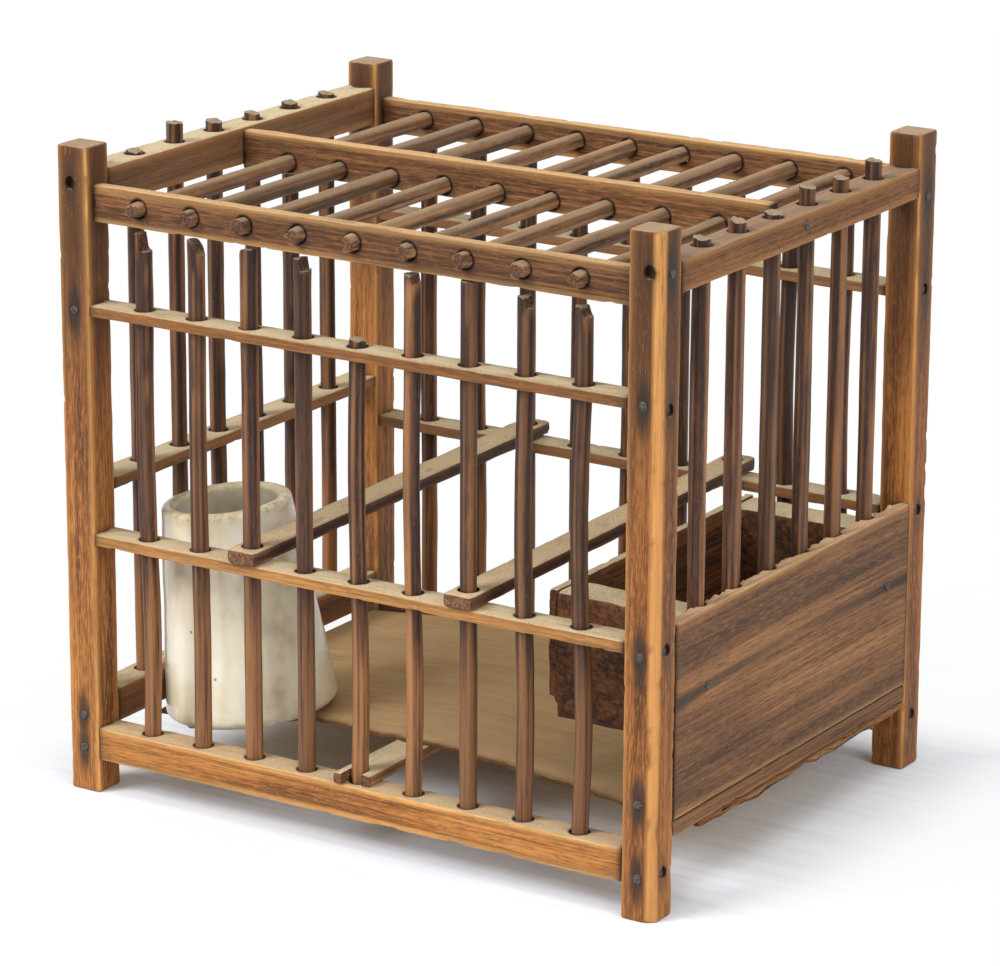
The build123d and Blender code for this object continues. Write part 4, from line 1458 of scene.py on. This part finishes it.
@dataclass
class Bars:
    """All the bars: the nine hand-cut front ones, the rear, roof and end ones.

    Attributes:
        front_cuts: the tops of the front bars, from left to right.
        seats: heights of the rails that hold the front and rear bars.
        in_perch: numbers of the front and rear bars that a perch is threaded on.
        end_tops: heights of the fixed bars of each end, by their number from the front.
        end_seats: heights of what holds the bars of each end.
        lifting: node and body of each bar that lifts, by its end and number.
    """

    woods: Woods
    front_cuts: tuple[Cut, ...] = (
        Cut(175.7, 170.6, -0.2), Cut(176.2, 171.8, 0.8, 1.9), Cut(174.9, 176.3, -1.4, 0.2),
        Cut(175.8, 172.6, 0.3), Cut(154.8, 154.4, 0.0, 2.0), Cut(176.2, 173.8, 0.9),
        Cut(177.0, 177.0), Cut(175.0, 172.2, 0.8), Cut(174.8, 172.2, 0.6))
    seats: tuple[float, ...] = (21.0, 80.5, 151.0)
    in_perch: tuple[int, int] = (2, 6)
    end_tops: dict[str, dict[int, float]] = field(default_factory=lambda: {
        "left": {0: 193.5, 2: 195.5, 3: 194.5, 4: 194.2, 5: 193.8},
        "right": {0: 192.2, 1: 193.4, 2: 191.6}})
    end_seats: dict[str, tuple[float, ...]] = field(default_factory=lambda: {
        "left": (30.0, 95.4, 186.4), "right": (86.0, 185.4)})
    lifting: dict[tuple[str, int], tuple[str, str]] = field(default_factory=lambda: {
        ("left", 1): ("left_lifting_bar", "left_bar"),
        ("right", 3): ("right_lifting_bar_1", "right_bar_1"),
        ("right", 4): ("right_lifting_bar_2", "right_bar_2"),
        ("right", 5): ("right_lifting_bar_3", "right_bar_3")})

    def build(self) -> None:
        """Builds all the bars."""
        self.build_front()
        self.build_rear()
        self.build_roof()
        self.build_ends()

    def dress(self, name: str, bars: list[Array], body: str, finish: bpy.types.Material,
              *nodes: str) -> None:
        """Joins bars into one piece and paints their feet and tops, and a highlight painted along
        the ridges between their flats.

        Args:
            name: the piece's name.
            bars: rings of each bar.
            body: the body that it moves with.
            finish: its material.
            nodes: frame nodes that it stands for.
        """
        piece = join_rings(name, bars)
        places = places_of(piece.data)
        rng = np.random.default_rng(len(name) + round(abs(float(places[:, :2].sum()))))
        cap, ridge_highlight = (np.concatenate(share) for share in zip(*map(self.shares, bars)))
        dark = np.concatenate([
            np.full(rings.shape[0] * rings.shape[1] + 2, rng.uniform(0, 0.42)) for rings in bars])
        # The ridges between the flats are painted lighter with the worn colour: a painted
        # highlight along each ridge.
        weather(piece, ridge_highlight * (0.75 + 0.4 * roam(places, (2.2, 2.2, 22), 5)), cap, dark)
        smooth_sides(piece, 55)
        set_down(piece, finish, body, "bar_wood", *nodes)

    def shares(self, rings: Array) -> tuple[Array, Array]:
        """Tells which points of a bar are on its ends and which on the ridges of its sides.

        Args:
            rings: the bar's rings.

        Returns:
            1 on the two ends and 0 on the side; 1 on the ridges between the flats and 0 on
            the flats. The two poles come last in both.
        """
        cap = np.zeros(rings.shape[:2])
        cap[:2] = cap[-3:] = 1
        away = np.linalg.norm(rings - rings.mean(1, keepdims=True), axis=-1)
        ridge_highlight = ease(0.985, 1.04, away / np.maximum(away.mean(1, keepdims=True), 0.01))
        return np.append(cap, [1, 1]), np.append(ridge_highlight, [0, 0])

    def build_front(self) -> None:
        """Builds the nine front bars, one piece each; those in a perch are nearly straight."""
        rng = np.random.default_rng(4)
        for number, cut in enumerate(self.front_cuts):
            node = f"front_bar_{number + 1}"
            low, high = corners_of(node)
            reach = 0.12 if number in self.in_perch else 0.75
            bow = tuple(rng.uniform(-reach, reach, 2))
            bar = WhittledBar(
                (low[0] + high[0]) / 2, (low[1] + high[1]) / 2, low[2], cut, self.seats, bow,
                seed=101 + number)
            self.dress(node + "_wood", [bar.rings()], "cage", self.woods.bar, node)

    def build_rear(self) -> None:
        """Builds the nine rear bars as one piece."""
        rng = np.random.default_rng(9)
        low, high = corners_of("rear_bars")
        bars = []
        for number, x in enumerate(FRONT_BARS):
            reach = 0.12 if number in self.in_perch else 0.5
            bow = tuple(rng.uniform(-reach, reach, 2))
            bars.append(WhittledBar(
                x, (low[1] + high[1]) / 2, low[2],
                Cut(high[2], high[2] - rng.uniform(0, 1.5), blur=1.5), self.seats, bow,
                seed=121 + number).rings())
        self.dress("rear_bars_wood", bars, "cage", self.woods.bar, "rear_bars")

    def build_roof(self) -> None:
        """Builds the roof bars: bars made upright, then laid so that up turns to the rear."""
        low, high = corners_of("roof_bars")
        bars = []
        for number, x in enumerate(FRONT_BARS):
            upright = WhittledBar(
                0, 0, low[1], Cut(high[1], high[1] - 0.4, blur=1.5), (low[1], 0, high[1]),
                (0.3 * math.sin(number * 2.1), 0.3 * math.cos(number * 1.7)),
                seed=141 + number, ragged=0.42).rings()
            laid = np.stack([upright[..., 1], upright[..., 2], upright[..., 0]], axis=-1)
            bars.append(laid + np.array([x, 0.0, ROOF_BAR_HEIGHT]))
        self.dress("roof_bars_wood", bars, "cage", self.woods.roof_bar, "roof_bars")

    def build_ends(self) -> None:
        """Builds the bars of both ends: the fixed ones, then each one that lifts."""
        rng = np.random.default_rng(14)
        for side, tops in self.end_tops.items():
            low, high = corners_of(f"{side}_bars")
            fixed = []
            for number, y in enumerate(SIDE_BARS):
                if number in tops:
                    top = tops[number]
                    fixed.append(WhittledBar(
                        (low[0] + high[0]) / 2, y, low[2],
                        Cut(top, top - rng.uniform(0.1, 0.7), blur=1.5), self.end_seats[side],
                        tuple(rng.uniform(-0.4, 0.4, 2)), seed=161 + number).rings())
                    continue
                node, body = self.lifting[side, number]
                foot, top = corners_of(node)
                bar = WhittledBar(
                    (foot[0] + top[0]) / 2, y, foot[2], Cut(top[2], top[2] - 0.4, blur=1.5),
                    self.end_seats[side], (0.0, 0.0), radius=2.5, seed=181 + number)
                self.dress(node + "_wood", [bar.rings()], body, self.woods.bar, node)
            self.dress(f"{side}_bars_wood", fixed, "cage", self.woods.bar, f"{side}_bars")


@dataclass
class Perches:
    """The two flat perches, each threaded on a front bar and a rear bar.

    Attributes:
        thickness: how thick a perch is.
        corner: radius of its corners seen from above.
    """

    woods: Woods
    thickness: float = 4.2
    corner: float = 1.4

    def build(self) -> None:
        """Builds both perches, sloped with the rails that they lie on."""
        for side, seed in (("left", 201), ("right", 207)):
            node = f"perch_{side}"
            low, high = corners_of(node)
            rise = (high[2] - low[2] - self.thickness) / (high[1] - low[1])
            flat_high = np.array([high[0], high[1], low[2] + self.thickness])
            stick = Stick(low, flat_high, Way.Y, (0.5, 0.5, 0.5, 0.5), chew=0.35, waver=0.1,
                          step=1.6, girth=1.2, seed=seed, end=0.5)
            rings = stick.rings()
            near_end = np.minimum(rings[..., 1] - low[1], high[1] - rings[..., 1])
            pull = self.corner - np.sqrt(
                np.maximum(self.corner ** 2 - np.maximum(self.corner - near_end, 0) ** 2, 0))
            middle = (low[0] + high[0]) / 2
            half = (high[0] - low[0]) / 2
            rings[..., 0] = middle + (rings[..., 0] - middle) * (half - pull) / half
            rings[..., 2] += (rings[..., 1] - low[1]) * rise
            piece = join_rings(node + "_wood", [rings])
            drill(piece, [
                pin(np.array([middle, y, low[2] - 4]), Way.Z, self.thickness + 12,
                    PERCH_HOLE_RADIUS) for y in (-FRONT_BAR_LINE, FRONT_BAR_LINE)])
            places = places_of(piece.data)
            level = places.copy()
            level[:, 2] -= (places[:, 1] - low[1]) * rise
            weather(piece, edge_wear(level, low, flat_high, Way.Y, 0.6),
                    ease(0.6, 0.2, from_ends(places, low, high, Way.Y)))
            smooth_sides(piece)
            set_down(piece, self.woods.perch, f"{side}_perch", "perch_wood", node)


@dataclass
class EndWall:
    """The wide board of the right end and the strip under it.

    Attributes:
        notch_depth: depth of the bar notches in its top.
        splinter: how far the splinters between the notches stand up.
    """

    woods: Woods
    notch_depth: float = 12.0
    splinter: float = 1.3

    def build(self) -> None:
        """Builds the board and the strip."""
        self.build_board()
        self.build_strip()

    def build_board(self) -> None:
        """Builds the board, splintered and notched along its top."""
        low, high = corners_of("end_board")
        stick = Stick(low, high, Way.Y, (0.4, 0.4, 0.4, 0.4), chew=0.2, waver=0.12, step=1.0,
                      girth=1.1, seed=221, end=0.2)
        rings = stick.rings()
        inner = ease(high[0] - 2.0, low[0] + 0.5, rings[..., 0])
        top = ease(high[2] - 2.5, high[2], rings[..., 2])
        jag = roam(rings * np.array([0, 1, 0]), (1, 2.3, 1), 33)
        rings[..., 2] += inner * top * self.splinter * (np.abs(jag) ** 0.7 - 0.6)
        piece = join_rings("end_board_wood", [rings])
        drill(piece, [
            pin(np.array([SIDE_BAR_LINE, y, high[2] - self.notch_depth]), Way.Z,
                self.notch_depth + 4, BAR_HOLE_RADIUS) for y in SIDE_BARS])
        places = places_of(piece.data)
        end = from_ends(places, low, high, Way.Y)
        weather(piece, edge_wear(places, low, high, Way.Y, 0.8), ease(0.3, 0.05, end),
                self.weather_streak(places), np.exp(-(end / 0.9) ** 2) * 0.8)
        smooth_sides(piece)
        set_down(piece, self.woods.end_board, "cage", "board_pine", "end_board")

    def build_strip(self) -> None:
        """Builds the strip, grimy where it meets the board over it."""
        low, high = corners_of("end_strip")
        strip = Stick(low, high, Way.Y, (0.4, 0.4, 0.4, 0.4), chew=0.3, waver=0.1, step=1.5,
                      girth=1.2, seed=227, end=0.2)
        piece = join_rings("end_strip_wood", [strip.rings()])
        places = places_of(piece.data)
        weather(piece, edge_wear(places, low, high, Way.Y, 0.7),
                grime_and_shade=ease(high[2] - 0.8, high[2], places[:, 2]) * 0.9)
        smooth_sides(piece)
        set_down(piece, self.woods.strip, "cage", "board_pine", "end_strip")

    def weather_streak(self, places: Array) -> Array:
        """The dark band that runs along the grain through both nails, wavering in width.

        Args:
            places: the points of the board.

        Returns:
            How dark each point is.
        """
        wander = 63.2 + 1.2 * roam(places * np.array([0, 1, 0]), (1, 38, 1), 41)
        width = 2.4 + 1.1 * roam(places * np.array([0, 1, 0]), (1, 24, 1), 42)
        band = np.exp(-((places[:, 2] - wander) / width) ** 2)
        fade = 0.55 + 0.45 * np.abs(places[:, 1]) / 60
        grimy = 0.2 * ease(0.15, 0.6, roam(places, (9, 26, 9), 43))
        low_stain = grimy * ease(84, 76, places[:, 2])
        return np.maximum(band * fade * 0.7, low_stain)


@dataclass
class SeedBox:
    """The dark seed box: two end blocks, a side board with a chipped lower edge, a bottom.

    Attributes:
        chip: how deep the splinters of the lower edge are.
        hole_foot: height of the feet of the bar holes in its blocks.
        hole_length: how far the holes' cutters reach up from there.
    """

    woods: Woods
    chip: float = 2.2
    hole_foot: float = 74.0
    hole_length: float = 14.0

    def build(self) -> None:
        """Builds the four pieces of the box."""
        for node, seed in (("seed_box_front_block", 241), ("seed_box_rear_block", 243),
                           ("seed_box_bottom", 245)):
            low, high = corners_of(node)
            way = Way.X if "block" in node else Way.Y
            stick = Stick(low, high, way, (0.6, 0.6, 0.6, 0.6), chew=0.4, waver=0.2, step=1.6,
                          girth=1.6, seed=seed, end=0.4)
            piece = join_rings(node + "_wood", [stick.rings()])
            if "block" in node:
                near = [y for y in SIDE_BARS if low[1] - 3 < y < high[1] + 3]
                drill(piece, [pin(np.array([SIDE_BAR_LINE, y, self.hole_foot]), Way.Z,
                                  self.hole_length, BAR_HOLE_RADIUS) for y in near])
            self.dress(piece, low, high, way, node)
        low, high = corners_of("seed_box_side")
        stick = Stick(low, high, Way.Y, (0.5, 0.5, 0.5, 0.5), chew=0.35, waver=0.15, step=0.8,
                      girth=1.4, seed=247, end=0.4)
        rings = stick.rings()
        ragged = self.lower_edge(rings[..., 1], low, high)
        share = (high[2] - rings[..., 2]) / (high[2] - low[2])
        rings[..., 2] += share * ragged
        front_jag = 0.8 * roam(rings * np.array([0, 0, 1]), (1, 1, 3.1), 49)
        rings[..., 1] += ease(low[1] + 3, low[1], rings[..., 1]) * np.abs(front_jag)
        piece = join_rings("seed_box_side_wood", [rings])
        self.dress(piece, low, high, Way.Y, "seed_box_side")

    def lower_edge(self, y: Array, low: Array, high: Array) -> Array:
        """How far the lower edge lies above the box's lowest corner, along the side board.

        A step up at the front corner, a slow slope along the board and short splinters.

        Args:
            y: places along the board.
            low: the board's lowest corner.
            high: its highest corner.

        Returns:
            How far up, one a place.
        """
        along = (y - low[1]) / (high[1] - low[1])
        knots = np.array([0.0, 0.028, 0.035, 0.12, 0.5, 0.75, 1.0])
        lifts = np.array([4.6, 4.4, 1.0, 0.3, 1.6, 0.8, 1.0])
        spot = np.stack([y * 0, y, y * 0], axis=-1)
        jag = np.abs(roam(spot, (1, 2.1, 1), 47)) * self.chip * 0.6
        return np.interp(along, knots, lifts) + jag * ease(0.03, 0.06, along)

    def dress(self, piece: bpy.types.Object, low: Array, high: Array, way: Way,
              node: str) -> None:
        """Paints and sets down one piece of the box.

        Args:
            piece: the piece.
            low: its lowest corner.
            high: its highest corner.
            way: axis of its grain.
            node: frame node that it stands for.
        """
        places = places_of(piece.data)
        weather(piece, edge_wear(places, low, high, way, 0.5) * 0.8,
                ease(0.3, 0.05, from_ends(places, low, high, way)) * 0.4,
                grime_and_shade=0.5 * ease(low[2] + 6, low[2], places[:, 2]))
        smooth_sides(piece)
        set_down(piece, self.woods.seed_box, "cage", "box_wood", node)


@dataclass
class FloorBoard:
    """The thin bent floor board with its torn front edge, and the batten under it.

    Attributes:
        front: the torn edge's straight line.
        tear: how far the torn edge wanders from it.
        thickness: thickness of the board.
        slot_half: half the width of the batten's end slots.
    """

    woods: Woods
    front: float = -49.0
    tear: float = 0.75
    thickness: float = 1.5
    slot_half: float = 2.9

    def build(self) -> None:
        """Builds the board and the batten."""
        low, high = corners_of("floor_board")
        front, rear = self.front, high[1]
        flat_low = np.array([low[0], front, 0.0])
        flat_high = np.array([high[0], rear, self.thickness])
        stick = Stick(flat_low, flat_high, Way.X, (0.4, 0.4, 0.4, 0.4), chew=0.2, waver=0.05,
                      step=1.0, girth=2.2, seed=261, end=0.3)
        rings = stick.rings()
        x = rings[..., 0]
        share = (rear - rings[..., 1]) / (rear - front)
        rings[..., 1] += share * self.front_edge(x, low, high)
        rings[..., 2] += self.underside(x, low, high)
        spill = ease(high[0] - 3.0, high[0], x)
        spot = np.stack([x * 0, rings[..., 1], x * 0], axis=-1)
        ragged = np.abs(roam(spot, (1, 6.5, 1), 66)) + 0.5 * np.abs(roam(spot, (1, 1.9, 1), 68))
        rings[..., 0] -= spill * ragged * 3.0
        hang = roam(rings, (3.0, 4.2, 40), 69) * 0.9
        rings[..., 2] += spill * np.where(rings[..., 2] < 21.2, np.minimum(hang, 0.2), 0)
        piece = join_rings("floor_board_wood", [rings])
        places = places_of(piece.data)
        from_edge = places[:, 1] - front - self.front_edge(places[:, 0], low, high)
        outside = ease(high[0] - 6.5, high[0] - 4.5, places[:, 0])
        blot = ease(0.25, 0.7, roam(places, (16, 11, 40), 67))
        weather(piece, np.maximum(np.exp(-np.abs(from_edge) / 0.9), outside), outside * 0.7,
                0.3 * blot * np.exp(-np.abs(from_edge) / 14),
                np.exp(-np.abs(from_edge) / 0.5) * 0.75)
        smooth_sides(piece)
        set_down(piece, self.woods.floor, "cage", "floor_wood", "floor_board")
        self.build_batten()

    def underside(self, x: Array, low: Array, high: Array) -> Array:
        """Height of the board's underside: down to the left end and the right from the batten."""
        knots = np.array([low[0], -7.5, -3.5, 3.5, 7.5, high[0]])
        return np.interp(x, knots, (15.8, 24.16, 24.5, 24.5, 24.3, 20.5))

    def front_edge(self, x: Array, low: Array, high: Array) -> Array:
        """How far the torn front edge lies behind its straight line.

        Args:
            x: places along the edge.
            low: the board's lowest corner.
            high: its highest corner.

        Returns:
            The distance, one a place.
        """
        span = high[0] - low[0]
        share = np.array([0.0, 0.03, 0.1, 0.18, 0.25, 0.46, 0.53, 0.65, 0.9, 1.0])
        knots = low[0] + span * share
        lines = np.array([0, 0, -9.5, -4.75, 9.5, 0, 1.6, 0, -4.7, -4.7])
        spot = np.stack([x, x * 0, x * 0], axis=-1)
        torn = self.tear * (roam(spot, (6.3, 1, 1), 63) + 0.4 * roam(spot, (1.7, 1, 1), 64))
        return np.interp(x, knots, lines) + torn * ease(92, 86, np.abs(x))

    def build_batten(self) -> None:
        """Builds the batten, its ends slotted round the middle bars."""
        low, high = corners_of("floor_batten")
        stick = Stick(low, high, Way.Y, (0.5, 0.5, 0.5, 0.5), chew=0.35, waver=0.1, step=1.5,
                      girth=1.2, seed=271, end=0.4)
        piece = join_rings("floor_batten_wood", [stick.rings()])
        tall = high[2] - low[2] + 4
        pins = []
        for side in (-1, 1):
            line = side * FRONT_BAR_LINE
            inner = line - side * 0.7
            pins.append(pin(np.array([0.0, line, low[2] - 2]), Way.Z, tall, BAR_HOLE_RADIUS))
            out = Stick(
                np.array([-self.slot_half, min(inner, side * 90.0), low[2] - 3]),
                np.array([self.slot_half, max(inner, side * 90.0), high[2] + 3]), Way.Z,
                waver=0, chew=0)
            pins.append(out.rings())
        step = Stick(np.array([0.1, low[1] - 2, low[2] - 4]),
                     np.array([high[0] + 4, low[1] + 2.3, high[2] + 4]), Way.Z, waver=0, chew=0)
        pins.append(step.rings())
        for cutter in pins:
            drill(piece, [cutter])
        places = places_of(piece.data)
        weather(piece, edge_wear(places, low, high, Way.Y, 0.7),
                ease(2.9, 2.4, from_ends(places, low, high, Way.Y)))
        smooth_sides(piece)
        set_down(piece, self.woods.batten, "cage", "floor_wood", "floor_batten")


@dataclass
class WaterPot:
    """The stoneware pot: a leaning cone with a crowned rim.

    Attributes:
        base: radius at the foot.
        shoulder: radius under the rim.
        mouth: radius of the mouth.
        height: height over the foot.
        wall: thickness of the wall.
        lean_left: degrees that it leans to the left.
        lean_front: degrees that it leans to the front.
        oval: how far it is out of round, as a share of its radius.
        round_points: points round it.
    """

    base: float = 26.3
    shoulder: float = 19.9
    mouth: float = 15.6
    height: float = 66.0
    wall: float = 4.2
    lean_left: float = 6.2
    lean_front: float = 2.4
    oval: float = 0.006
    round_points: int = 112

    def profile(self) -> Array:
        """Radius and height along the pot's skin, from under its foot to its inner floor.

        Straight runs between rounded corners: the foot, the shoulder, the crown of the rim
        and the inner floor are quarter or half circles laid between the runs.

        Returns:
            Rows of radius and height.
        """
        foot = np.linspace(-math.pi / 2, 0.1, 7)
        run = np.linspace(0, 1, 26)[1:-1]
        crown = np.linspace(0, math.pi, 13)
        rim_half = (self.shoulder - self.mouth) / 2
        rim_mid = self.mouth + rim_half
        rim_low = self.height - 1.7
        parts = [
            np.array([[3.0, 0.35], [14.0, 0.3], [self.base - 3.4, 0.0]]),
            np.stack([self.base - 2.4 + 2.4 * np.cos(foot), 2.4 + 2.4 * np.sin(foot)], -1),
            np.stack([self.base + (self.shoulder - self.base) * run ** 1.04,
                      2.6 + (rim_low - 2.6) * run], -1),
            np.stack([rim_mid + rim_half * np.cos(crown), rim_low + 1.7 * np.sin(crown)], -1),
            np.stack([self.mouth + (self.base - self.wall - self.mouth) * run,
                      rim_low + (7.0 - rim_low) * run], -1),
            np.array([[self.base - self.wall - 2, 5.6], [self.base - self.wall - 6, 5.05],
                      [9.0, 5.0], [3.0, 5.0]]),
        ]
        return np.concatenate(parts)

    def build(self) -> None:
        """Builds the pot by turning the profile about its axis, then leans and places it."""
        profile = self.profile()
        angle = np.linspace(0, 2 * math.pi, self.round_points, endpoint=False)
        uneven = 1 + self.oval * np.sin(2 * angle + 0.7)[None, :]
        radius = profile[:, :1] * uneven
        rings = np.stack([radius * np.cos(angle), radius * np.sin(angle),
                          profile[:, 1:] + 0 * radius], axis=-1)
        waver = roam(rings, (17, 17, 9), 83)[..., None] * np.array([0.12, 0.12, 0.0])
        rings = rings + waver * np.sign(rings)
        upright = rings.copy()
        lean = (Matrix.Rotation(math.radians(self.lean_front), 3, "X")
                @ Matrix.Rotation(math.radians(-self.lean_left), 3, "Y"))
        rings = rings @ np.array(lean).T
        low, high = corners_of("water_pot")
        shape_low, shape_high = rings.min((0, 1)), rings.max((0, 1))
        rings = rings + (low + high) / 2 - (shape_low + shape_high) / 2
        rings[..., 2] += low[2] - rings[..., 2].min()
        piece = join_rings("water_pot_glazed", [rings])
        level = np.concatenate([upright[..., 2].ravel(), [upright[0, 0, 2], upright[-1, 0, 2]]])
        ring_number = np.repeat(np.arange(len(profile)), len(angle))
        ring_number = np.concatenate([ring_number, [0, len(profile) - 1]])
        crown_at = int(np.argmax(profile[:, 1]))
        paint(piece, "rim", ease(self.height - 3.2, self.height - 0.9, level))
        # Marks the inside, which the glaze greys as painted shade.
        paint(piece, "inside", ease(crown_at + 2, crown_at + 8, ring_number))
        paint(piece, "foot", ease(3.5, 0.5, level) * (ring_number < crown_at))
        smooth_sides(piece, 60)
        set_down(piece, GlazeFinish().make(), "pot", "stoneware", "water_pot")


@dataclass
class Nails:
    """The heads of the nails, each a flattened dome with an uneven rim.

    Attributes:
        marks: the marks of each post.
        radius: mean radius of a head.
        thickness: height of a head.
        seat: how far a head sits in the wood.
        sunk_by: how far a sunk one does.
        rail_nail: height of the one nail in the right top rail.
        inset: from the ends of the pair's box to the middles of its two nails.
    """

    marks: dict[str, tuple[Mark, ...]]
    radius: float = 1.42
    thickness: float = 0.5
    seat: float = 0.05
    sunk_by: float = 1.1
    rail_nail: float = 186.4
    inset: float = 1.4

    def head(self, middle: Array, axis: int, side: int, seed: int) -> Array:
        """Rings of one head: radius r sin a and height t cos a, hammered uneven.

        Args:
            middle: where it meets the wood.
            axis: axis that it faces along.
            side: 1 or -1, the direction that it faces.
            seed: picks its outline.

        Returns:
            Rings from under the head to its crown.
        """
        rng = np.random.default_rng(seed)
        angle = np.linspace(0, 2 * math.pi, 14, endpoint=False)
        uneven = 1 + 0.07 * np.sin(2 * angle + rng.uniform(0, 6)) + 0.05 * np.sin(
            3 * angle + rng.uniform(0, 6))
        radial = np.array([0.5, 0.8, 0.98, 1.0, 0.9, 0.62, 0.3])
        rise = np.array([-0.6, -0.5, -0.3, 0.35, 0.75, 0.95, 1.0]) * self.thickness
        a, b = Way(axis).across
        rings = np.zeros((len(radial), len(angle), 3)) + middle
        ring = self.radius * radial[:, None] * uneven
        rings[..., a] += ring * np.cos(angle)
        rings[..., b] += ring * np.sin(angle) * side
        tilt = 0.12 * np.cos(angle + rng.uniform(0, 6)) * radial[:, None]
        rings[..., axis] += side * (rise[:, None] + tilt * (rise[:, None] > 0))
        return rings

    def build(self) -> None:
        """Builds the heads on the posts and rail, and the two on the end board."""
        heads = []
        for node, marks in self.marks.items():
            low, high = corners_of(node)
            for number, mark in enumerate(marks):
                if mark.sunk and mark.face is Face.FRONT:
                    continue
                axis, side = mark.face.value
                middle = mark.middle(low, high, -(self.sunk_by if mark.sunk else self.seat))
                heads.append(self.head(middle, axis, side, len(heads) + number * 7))
        low, high = corners_of("right_top_rail")
        heads.append(self.head(np.array([high[0], 0.0, self.rail_nail]), 0, 1, 77))
        piece = join_rings("frame_nails_iron", heads)
        smooth_sides(piece, 50)
        iron = IronFinish().make()
        set_down(piece, iron, "cage", "nail_iron", "frame_nails")
        low, high = corners_of("board_nails")
        face = corners_of("end_board")[1][0]
        level = (low[2] + high[2]) / 2
        pair = [self.head(np.array([face, y, level]), 0, 1, 91 + number)
                for number, y in enumerate((low[1] + self.inset, high[1] - self.inset))]
        piece = join_rings("board_nails_iron", pair)
        smooth_sides(piece, 50)
        set_down(piece, iron, "cage", "nail_iron", "board_nails")


def toward(turn: float, rise: float) -> Vector:
    """Unit vector out from the cage, turned from its front to the right and raised."""
    return Vector((math.sin(turn) * math.cos(rise), -math.cos(turn) * math.cos(rise),
                   math.sin(rise)))


@dataclass(frozen=True)
class Lamp:
    """A far soft lamp in a direction round the cage.

    Attributes:
        name: its name.
        strength: its strength.
        azimuth: degrees round from the front towards the right.
        elevation: degrees over the table.
        spread: its width as an angle in degrees, which softens its shadows.
    """

    name: str
    strength: float
    azimuth: float
    elevation: float
    spread: float

    def hang(self) -> None:
        """Adds the lamp, turned towards the cage."""
        lamp = bpy.data.lights.new(self.name, "SUN")
        lamp.energy = self.strength
        lamp.angle = math.radians(self.spread)
        hung = bpy.data.objects.new(self.name, lamp)
        bpy.context.scene.collection.objects.link(hung)
        back = toward(math.radians(self.azimuth), math.radians(self.elevation))
        hung.rotation_euler = back.to_track_quat("Z", "Y").to_euler()


@dataclass
class Studio:
    """The table, the lights and the camera.

    Attributes:
        lamps: the three lamps.
        sky: colour of the light that comes from all round.
        sky_strength: its strength.
        distance: from the camera to its target, in millimetres.
        lens: focal length for a 36 mm sensor.
        yaw: degrees that the camera is turned to the right of the front.
        pitch: degrees that it looks down.
        roll: degrees that it is rolled.
        target: the point that it looks at.
    """

    lamps: tuple[Lamp, ...] = (
        Lamp("lamp_left", 2.7, -34, 38, 30), Lamp("lamp_over", 1.0, 60, 76, 50),
        Lamp("lamp_right", 1.3, 66, 24, 40))
    sky: Colour = (1.0, 0.98, 0.9, 1.0)
    sky_strength: float = 0.28
    distance: float = 1350.93
    lens: float = 160.25
    yaw: float = 32.391
    pitch: float = 16.506
    roll: float = 0.248
    target: tuple[float, float, float] = (-3.213, 5.151, 91.437)

    def build(self) -> None:
        """Makes the table, the sky, the lamps and the camera."""
        scene = bpy.context.scene
        scene.view_settings.view_transform = "Standard"
        self.lay_table()
        self.light_sky()
        for lamp in self.lamps:
            lamp.hang()
        self.stand_camera()

    def lay_table(self) -> None:
        """A flat sheet under the cage, a grid of points at height zero."""
        reach = np.linspace(-4000, 4000, 9)
        x, y = np.meshgrid(reach, reach, indexing="ij")
        points = np.stack([x, y, x * 0], axis=-1).reshape(-1, 3)
        index = np.arange(81).reshape(9, 9)
        quads = np.stack(
            [index[:-1, :-1], index[1:, :-1], index[1:, 1:], index[:-1, 1:]], axis=-1)
        mesh = bpy.data.meshes.new("table")
        mesh.from_pydata((points * MM).tolist(), [], quads.reshape(-1, 4).tolist())
        mesh.update()
        table = bpy.data.objects.new("table", mesh)
        bpy.context.scene.collection.objects.link(table)
        table.data.materials.append(TableFinish().make())

    def light_sky(self) -> None:
        """An even sky that is plain white where the camera or a reflection sees it."""
        world = bpy.data.worlds.new("studio")
        bpy.context.scene.world = world
        p = Painter(world)
        lit, seen = (
            p.made("ShaderNodeBackground", {}, {"Color": shade, "Strength": strength})
            for shade, strength in ((self.sky, self.sky_strength), (WHITE, 1.0)))
        p.finish(p.made("ShaderNodeMixShader", {}, {0: p.seen(), 1: lit, 2: seen}),
                 "ShaderNodeOutputWorld")

    def stand_camera(self) -> None:
        """Sets the camera where the photographer stood."""
        data = bpy.data.cameras.new("camera")
        data.lens = self.lens
        data.sensor_width = 36.0
        data.clip_start, data.clip_end = 0.05, 20.0
        camera = bpy.data.objects.new("camera", data)
        bpy.context.scene.collection.objects.link(camera)
        yaw, pitch, roll = (math.radians(v) for v in (self.yaw, self.pitch, self.roll))
        back = toward(yaw, pitch)
        right = Vector((math.cos(yaw), math.sin(yaw), 0.0))
        up = back.cross(right)
        right, up = (right * math.cos(roll) + up * math.sin(roll),
                     up * math.cos(roll) - right * math.sin(roll))
        turned = Matrix((right, up, back)).transposed().to_4x4()
        place = (Vector(self.target) + back * self.distance) * MM
        camera.matrix_world = Matrix.Translation(place) @ turned
        bpy.context.scene.camera = camera


def main() -> None:
    """Builds the cage in order."""
    logging.basicConfig(level=logging.INFO, format="%(name)s: %(message)s")
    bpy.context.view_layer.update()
    woods = Woods()
    posts = Posts(woods)
    Studio().build()
    posts.build()
    Rails(woods).build()
    Bars(woods).build()
    Perches(woods).build()
    EndWall(woods).build()
    SeedBox(woods).build()
    FloorBoard(woods).build()
    WaterPot().build()
    Nails(posts.marks()).build()
    bpy.context.view_layer.update()


if __name__ == "__main__":
    main()
